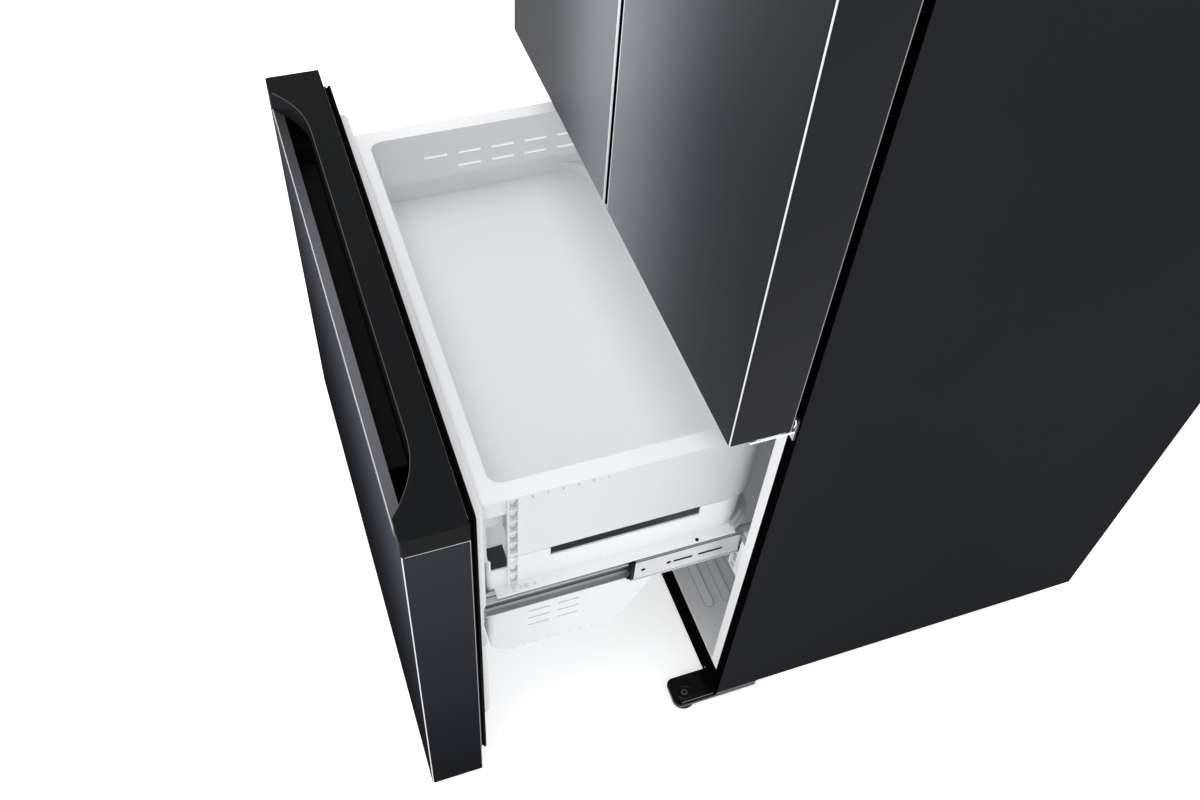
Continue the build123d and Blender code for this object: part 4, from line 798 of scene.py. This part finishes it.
# ---- Lower bin and tray: bosses, teeth, corners, cups and tabs in shaded whites, painted shade, and glowing strips in the slots, painted light ----
bosses = bmesh.new()
corners = bmesh.new()
bumpers = bmesh.new()
for side, hand in sides:
    for along, reach, tall in ((57, 3.4, 2.2), (66, 2.6, 1.6), (74, 3.8, 2.4), (85, 2.4, 1.4)):
        place = (side * 355 * mm, pulled + along * mm, ledge_top)
        add_dome(bosses, place, upward, reach * mm, tall * mm)
    for tooth in range(8):
        along = bin_low.y + (35 + 17 * tooth) * mm
        add_block(
            bosses, (side * 342.5 * mm, along - 1.7 * mm, bin_low.z - 0.2 * mm),
            (side * 346.2 * mm, along + 1.7 * mm, bin_low.z + 3.6 * mm), 0.4 * mm,
        )
    turn = (side * 304 * mm, pulled + 350 * mm, 0)
    for reach, first, last, low, high in (
        ((57, 38), 0, 92, ledge_top - 2.8 * mm, ledge_top - 0.1 * mm),
        ((51, 46.5), 18, 56, ledge_top - 0.5 * mm, ledge_top + 5 * mm),
    ):
        far, near = [arc(turn, r * mm, first, last, (side, 0, 0), (0, 1, 0), 12) for r in reach]
        add_prism(corners, [(p.x, p.y) for p in far + near[::-1]], low, high)
    place = (side * 357.5 * mm, pulled + 315 * mm, ledge_top)
    add_dome(bumpers, place, upward, 2.6 * mm, 1.8 * mm)
piece("ledge_bosses", bosses, "drawer", shaded_boss_white)
piece("ledge_corners", corners, "drawer", shaded_white)
piece("ledge_bumpers", bumpers, "drawer", black_plastic)


def add_scallop(mesh, side, level):
    """A moulded cup between the flanges of the post: a half shell, open upwards."""
    centre = (side * 344.9 * mm, (post_low + post_high) / 2 + 1 * mm, level * mm)
    cup_half = (post_high - post_low - 2.4 * mm) / 2
    cup_depth = 10 * mm
    line = arc(centre, 1, 180, 0, (0, cup_half, 0), (0, 0, -cup_depth), 8)
    add_ribbon(mesh, line, (side * 4 * mm, 0, 0), 0.8 * mm)


tray_cups = bmesh.new()
bin_cups = bmesh.new()
for side, hand in sides:
    for level in (633, 608, 583, 558, 533):
        add_scallop(tray_cups, side, level)
    for level in (483, 458):
        add_scallop(bin_cups, side, level)
    for tab in range(6):
        along = pulled + (82.3 + 19.3 * tab) * mm
        tab_run = (along - 0.9 * mm, along + 0.9 * mm)
        add_bar(tray_cups, side, (344.8, 347.6), tab_run, (631.5, 639.4), 0.3 * mm)
piece("tray_cups", tray_cups, "tray", shaded_white)
piece("bin_cups", bin_cups, "drawer", shaded_white)
# Glowing strips in the slots of the tray's wall: painted light, for the white seen through them.
webs = bmesh.new()
for level, first in ((596, 0), (571, 1)):
    for start in (118, 172, 226, 280, 334)[first:]:
        web_run = (pulled + start * mm, pulled + (start + 36) * mm)
        add_bar(webs, -1, (324.3, 325.3), web_run, (level - 2, level + 2))
piece("tray_slot_glow", webs, "tray", glowing_white, smooth=False)

# ---- Freezer floor: a grey line round the edge of each pressed rib, painted shade ----
rib_top = 81.2 * mm
rib_end = 284 * mm  # where the round end of a rib begins
rib_half = 8 * mm
ribs = bmesh.new()
for rib in range(4):
    middle = case_front + (34 + 33 * rib) * mm
    reach = rib_end + rib_half
    loop = rounded_loop(-reach, reach, middle - rib_half, middle + rib_half, 7.9 * mm, 6)
    path = []
    for x, y in loop:
        end = max(-rib_end, min(rib_end, x))
        out = Vector((x - end, y - middle, 0)).normalized()
        path.append((Vector((x, y, rib_top)), out, Vector(upward)))
    add_sweep(ribs, path, circle(0.6 * mm, 6), closed=True)
piece("floor_rib_shade", ribs, "cabinet", rib_shade_grey)

# ---- Leg brackets and feet: rims, washers round each stud, and a pale line on the outer edge, a painted highlight ----
plate_top = 22 * mm
bend = 11 * mm  # radius of a leg bracket's front corners
rims = bmesh.new()
for side, hand in sides:
    low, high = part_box(f"leveling_foot_{hand}")
    stud = Vector(((low.x + high.x) / 2, (low.y + high.y) / 2, plate_top))
    outer = side * (case_half - 1.2 * mm)
    inner = side * (case_half - 48.8 * mm)
    turn_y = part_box("leg_brackets")[0].y + 1.2 * mm + bend
    points = [(inner, case_front - 2 * mm, plate_top)]
    for x, first in ((inner + side * bend, 180), (outer - side * bend, 270)):
        points += arc(
            (x, turn_y, plate_top), bend, first, first + 90, (side, 0, 0), (0, 1, 0), 6
        )
    points.append((outer, case_front - 2 * mm, plate_top))
    add_tube(rims, points, 0.5 * mm, 8)
    for radius, wire in ((10.6 * mm, 1.5 * mm), (13.4 * mm, 0.5 * mm)):
        add_ring(rims, stud, upward, radius, wire)
    mark = (stud.x - side * 14 * mm, stud.y + 26 * mm, plate_top)
    add_ring(rims, mark, upward, 3.4 * mm, 0.5 * mm)
    cap = bmesh.new()
    add_ring(cap, (stud.x, stud.y, plate_top + 2.3 * mm), upward, 4.2 * mm, 0.9 * mm)
    piece(f"stud_crown_{hand}", cap, f"foot_{hand}", fan_plastic)
    glint = bmesh.new()
    along = side * (case_half - 4.6 * mm)
    ends = [(along, y, plate_top + 0.2 * mm) for y in (turn_y, case_front - 4 * mm)]
    add_tube(glint, ends, 0.6 * mm, 8)
    piece(f"leg_glint_{hand}", glint, "cabinet", sheen_and_trim_grey)
piece("leg_rims", rims, "cabinet", black_paint)

# ---- Middle hinges: a curled wire end beside each door, and a wavy one under its edge ----
hook = (  # out from the middle, back from the case front, and up, in millimetres
    (403, -8, 731.5), (408, -6.4, 734), (411.6, -6, 739), (412.6, -6, 745), (410.4, -6, 750.4),
    (405.6, -6, 751.6), (402.6, -6, 748.6),
)
wave = (
    (410, -82, 735.6), (409.6, -74, 733.4), (410.2, -66, 735), (411, -60, 732.6),
    (411.6, -53, 733.4), (411.6, -44, 731.2), (412.2, -36, 732.4), (411.4, -26, 730.8),
    (409, -14, 731.6),
)
roll = bmesh.new()
for side, hand in sides:
    for line, radius in ((hook, 1.3 * mm), (wave, 0.9 * mm)):
        points = [(side * x * mm, case_front + y * mm, z * mm) for x, y, z in line]
        add_tube(roll, points, radius, 10)
piece("hinge_rolls", roll, "cabinet", chrome)

# ---- Rear: screws, the grommet in the machine cover, and the panel's beads ----
rearward = (0, 1, 0)
screw_places = [(x, 1732) for x in (-400, -200, 0, 200, 400)]
screw_places += [(x, z) for x in (-400, -133, 133, 400) for z in (278, 44)]
screw_places += [(side * 400, z) for z in (420, 760, 1100, 1440) for side in (-1, 1)]
rear_screws = bmesh.new()
for x, z in screw_places:
    place = (x * mm, case_back - 0.35 * mm, z * mm)
    add_screw(rear_screws, place, rearward, 5 * mm, 0.6 * mm)
piece("rear_screws", rear_screws, "cabinet", zinc)
grommet = bmesh.new()
for radius, wire in ((9 * mm, 0.7 * mm), (7.4 * mm, 0.6 * mm)):
    add_ring(grommet, (-330 * mm, case_back - 0.4 * mm, 70 * mm), rearward, radius, wire)
piece("lead_grommet", grommet, "cabinet", rubber)
beads = bmesh.new()
bead_run = (case_back - 0.6 * mm, case_back + 0.3 * mm)
for side, hand in sides:
    add_bar(beads, side, (380, 384), bead_run, (300, 1720), 0.3 * mm)
    add_bar(beads, side, (118, 130), bead_run, (330, 1700), 0.3 * mm)
piece("rear_beads", beads, "cabinet", rear_steel)

# ---- Machinery: the condenser's return bends, the discharge pipe, the compressor's band ----
coil_low, coil_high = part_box("condenser")
coil_y = (coil_low.y + coil_high.y) / 2
layers = (coil_low.z + 40 * mm, coil_low.z + 110 * mm)  # heights of the condenser's tube runs
coil_tube = 4 * mm
bends = bmesh.new()
for z in layers:
    for x, way, y in ((coil_high.x, 1, coil_y - 20 * mm), (coil_low.x, -1, coil_y + 20 * mm)):
        half = arc((x, y, z), 20 * mm, 90, -90, (way, 0, 0), (0, 1, 0), 10)
        add_tube(bends, half, coil_tube)
middle = (coil_low.x, coil_y - 40 * mm, sum(layers) / 2)
link = arc(middle, (layers[1] - layers[0]) / 2, 90, -90, (-1, 0, 0), (0, 0, 1), 10)
add_tube(bends, link, coil_tube)
piece("condenser_bends", bends, "cabinet", coil_metal)
shell_low, shell_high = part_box("compressor")
shell_x = (shell_low.x + shell_high.x) / 2
pipes = bmesh.new()
stub = Vector((shell_x - 40 * mm, coil_y, shell_high.z - 4 * mm))
end = Vector((coil_high.x + 10 * mm, coil_y + 40 * mm, layers[1]))
from_stub = ((0, 0, 0), (0, 0, 14), (-6, 3, 24), (-20, 12, 30))  # steps in millimetres
from_end = ((30, -8, 108), (8, 0, 100), (0, 0, 86), (0, 0, 12), (-3, 0, 3), (-12, 0, 0))
run = [stub + Vector(step) * mm for step in from_stub]
run += [end + Vector(step) * mm for step in from_end]
add_tube(pipes, run, 3 * mm)
piece("discharge_pipe", pipes, "cabinet", copper)
shell = bmesh.new()
band = []
for x, y in circle(1, 48):
    place = Vector((shell_x + 90 * mm * x, coil_y + 78 * mm * y, 118 * mm))
    band.append((place, Vector((x, y, 0)), Vector(upward)))
add_sweep(shell, band, circle(1.6 * mm, 8), closed=True)
add_block(
    shell, (shell_x - 30 * mm, coil_y + 68 * mm, 84 * mm),
    (shell_x + 34 * mm, coil_y + 92 * mm, 146 * mm), 6 * mm, 3,
)
piece("compressor_fittings", shell, "cabinet", black_plastic)

# ---- Door bin rims, crisper rims, roller hubs, shelf fronts, lamp ribs, mullion plate ----
bin_face = (-8.3 * mm, -7.5 * mm)
for side, hand in sides:
    rims = bmesh.new()
    for level in (835, 1130, 1425):
        for low in (level + 79, level + 90):
            add_bar(rims, side, (92, 327), bin_face, (low, low + 2.4), 0.4 * mm)
    piece(f"door_bin_rims_{hand}", rims, f"{hand}_door", sheen_and_trim_grey)
    low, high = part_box(f"crisper_{hand}")
    grip = bmesh.new()
    add_block(
        grip, (low.x + 8 * mm, low.y - 0.6 * mm, high.z - 9 * mm),
        (high.x - 8 * mm, low.y + 0.4 * mm, high.z - 2 * mm), 0.4 * mm,
    )
    piece(f"crisper_rim_{hand}", grip, f"crisper_body_{hand}", white_duct)
    wheel = bmesh.new()
    low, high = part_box(f"roller_{hand}")
    hub = (low + high) / 2
    for edge in (low.x, high.x):
        for radius, wire in ((15 * mm, 0.8 * mm), (8 * mm, 0.7 * mm)):
            add_ring(wheel, (edge, hub.y, hub.z), (1, 0, 0), radius, wire)
    piece(f"roller_hub_{hand}", wheel, f"roller_body_{hand}", fan_plastic)
shelf_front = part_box("shelf_frames")[0].y
front_run = (shelf_front - 0.5 * mm, shelf_front + 0.4 * mm)
fronts = bmesh.new()
for low in (1193, 1443):
    for side, hand in sides:
        add_bar(fronts, side, (9, 371), front_run, (low, low + 10), 0.4 * mm)
piece("shelf_fronts", fronts, "cabinet", highlight_and_trim_metal)
lens_low, lens_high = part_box("lamp_lens")
ribs = bmesh.new()
for i in range(9):
    along = lens_low.y + (8 + i * 8) * mm
    add_block(
        ribs, (lens_low.x + 10 * mm, along - 1 * mm, lens_low.z - 0.7 * mm),
        (lens_high.x - 10 * mm, along + 1 * mm, lens_low.z + 0.3 * mm), 0.3 * mm,
    )
piece("lamp_ribs", ribs, "cabinet", lens_plastic)
flap_low, flap_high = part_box("mullion_flap")
strip = bmesh.new()
add_block(
    strip, (flap_low.x - 0.4 * mm, flap_low.y + 12 * mm, flap_low.z + 20 * mm),
    (flap_low.x + 0.4 * mm, flap_high.y - 8 * mm, flap_high.z - 20 * mm), 0.3 * mm,
)
piece("mullion_plate", strip, "mullion", sheen_and_trim_grey)

# ---- Black frames behind the gaskets, between each liner and the folded steel ----
fold_in = case_half - 12 * mm
liner_low, liner_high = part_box("drawer_liner")
border_run = (steel_high.y, steel_high.y + 0.5 * mm)
border = bmesh.new()
add_block(
    border, (-fold_in, border_run[0], steel_low.z + 1 * mm), (fold_in, border_run[1], liner_low.z)
)
for side, hand in sides:
    add_block(
        border, (side * liner_high.x, border_run[0], liner_low.z),
        (side * fold_in, border_run[1], steel_high.z),
    )
piece("drawer_inner_frame", border, "drawer", trim_plastic, smooth=False)
for side, hand in sides:
    low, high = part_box(f"door_skin_{hand}")
    border = bmesh.new()
    add_block(
        border, (side * 398.9 * mm, high.y, low.z + 1 * mm),
        (side * fold_in, high.y + 0.5 * mm, high.z - 1 * mm),
    )
    piece(
        f"door_inner_frame_{hand}", border, f"{hand}_door", trim_plastic,
        smooth=False,
    )

# ---- Seams over the machine cover and round the hinge covers, and a painted highlight along the top front edge of each door ----
seam = bmesh.new()
add_block(
    seam, (-415 * mm, case_back - 0.4 * mm, 289.3 * mm),
    (415 * mm, case_back + 0.2 * mm, 290.7 * mm),
)
piece("cover_joint", seam, "cabinet", shade_and_joint_black, smooth=False)
cover_low, cover_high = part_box("hinge_covers")
seam_level = 1749.2 * mm
seam = bmesh.new()
for side, hand in sides:
    near, far = sorted((side * 310 * mm, side * 415 * mm))
    loop = rounded_loop(near, far, cover_low.y, cover_high.y, 12 * mm)
    centre = Vector(((near + far) / 2, (cover_low.y + cover_high.y) / 2, 0))
    path = []
    for x, y in loop:
        out = (Vector((x, y, 0)) - centre).normalized()
        path.append((Vector((x, y, seam_level)), out, Vector(upward)))
    add_sweep(seam, path, circle(0.5 * mm, 6), closed=True)
piece("cover_seams", seam, "cabinet", shade_and_joint_black)
for side, hand in sides:
    low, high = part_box(f"door_skin_{hand}")
    # A pale strip along the top front edge of the door's steel: painted highlight.
    cap_highlight = bmesh.new()
    add_block(
        cap_highlight, (low.x + 5 * mm, low.y + 0.2 * mm, high.z - 0.3 * mm),
        (high.x - 5 * mm, low.y + 0.8 * mm, high.z + 0.12 * mm),
    )
    piece(f"door_cap_highlights_{hand}", cap_highlight, f"{hand}_door", highlight_and_trim_metal, smooth=False)


# ---- Camera, as solved from the photograph ----
def place_camera():
    """Sets the directions, place and focal length that fit the photograph's corners."""
    right = Vector((0.33341, 0.94100, 0.05793))
    up = Vector((-0.74964, 0.22735, 0.62157))
    forward = Vector((-0.57173, 0.25067, -0.78121))
    turn = Matrix((right, up, -forward)).transposed().to_4x4()
    data = bpy.data.cameras.new("camera")
    data.sensor_width = 36
    data.lens = 35.295
    data.clip_start = 0.05
    data.clip_end = 60
    camera = bpy.data.objects.new("camera", data)
    camera.matrix_world = Matrix.Translation((1.0860, -0.6506, 1.8002)) @ turn
    bpy.context.scene.collection.objects.link(camera)
    bpy.context.scene.camera = camera


# ---- Floor, backdrop and light ----
def white_to_rays(tree):
    """One for camera, glossy and transmission rays, to which the backdrop is plain white."""
    rays = tree.nodes.new("ShaderNodeLightPath").outputs
    seen = math_node(tree, "MAXIMUM", rays["Is Camera Ray"], rays["Is Glossy Ray"])
    return math_node(tree, "MAXIMUM", seen, rays["Is Transmission Ray"])


def light_world():
    """Even, faintly cool light, behind a plain white backdrop."""
    world = bpy.data.worlds.new("studio")
    world.use_nodes = True
    bpy.context.scene.world = world
    tree = world.node_tree
    seen = tree.nodes["Background"]
    seen.inputs["Color"].default_value = (1, 1, 1, 1)
    lit = tree.nodes.new("ShaderNodeBackground")
    lit.inputs["Color"].default_value = (0.985, 0.99, 1.0, 1)
    lit.inputs["Strength"].default_value = 0.95
    mix = tree.nodes.new("ShaderNodeMixShader")
    tree.links.new(white_to_rays(tree), mix.inputs["Fac"])
    tree.links.new(lit.outputs["Background"], mix.inputs[1])
    tree.links.new(seen.outputs["Background"], mix.inputs[2])
    tree.links.new(mix.outputs["Shader"], tree.nodes["World Output"].inputs["Surface"])


def lamp(name, place, target, size, power):
    """A soft lamp aimed at a place: size in metres, power in watts."""
    data = bpy.data.lights.new(name, "AREA")
    data.shape = "RECTANGLE"
    data.size, data.size_y = size
    data.energy = power
    thing = bpy.data.objects.new(name, data)
    thing.location = place
    aim = Vector(target) - Vector(place)
    thing.rotation_mode = "QUATERNION"
    thing.rotation_quaternion = aim.to_track_quat("-Z", "Y")
    bpy.context.scene.collection.objects.link(thing)


def lay_floor():
    """A wide floor that takes shadows and fades to the backdrop's white."""
    bpy.ops.mesh.primitive_plane_add(size=30, location=(0, 0, 0))
    floor = bpy.context.object
    floor.name = "floor"
    material, principled = shader("floor_white", "f4f5f6", 0.7, specular=0.1)
    tree = material.node_tree
    tint(material, noise(material, 0.4), "f3f4f5", "f6f7f8", principled.inputs["Base Color"])
    glow = tree.nodes.new("ShaderNodeEmission")
    glow.inputs["Color"].default_value = (1, 1, 1, 1)
    glow.inputs["Strength"].default_value = 0.55
    both = tree.nodes.new("ShaderNodeAddShader")
    mix = tree.nodes.new("ShaderNodeMixShader")
    tree.links.new(principled.outputs["BSDF"], both.inputs[0])
    tree.links.new(glow.outputs["Emission"], both.inputs[1])
    tree.links.new(white_to_rays(tree), mix.inputs["Fac"])
    tree.links.new(principled.outputs["BSDF"], mix.inputs[1])
    tree.links.new(both.outputs["Shader"], mix.inputs[2])
    tree.links.new(mix.outputs["Shader"], tree.nodes["Material Output"].inputs["Surface"])
    floor.data.materials.append(material)


place_camera()
light_world()
lay_floor()
lamp("top", (-0.2, -0.75, 3.1), (-0.1, -0.4, 0.6), (2.4, 1.4), 21)
lamp("front", (1.3, -3.4, 1.3), (0.2, -0.2, 0.5), (1.6, 1.6), 24)
lamp("fill", (-2.8, -2.2, 2.4), (0, -0.3, 0.8), (2.6, 2.0), 12)
lamp("back", (0.6, 3.2, 3.2), (0, 0.2, 0.9), (3.0, 1.6), 16)
bpy.context.scene.view_settings.view_transform = "Standard"
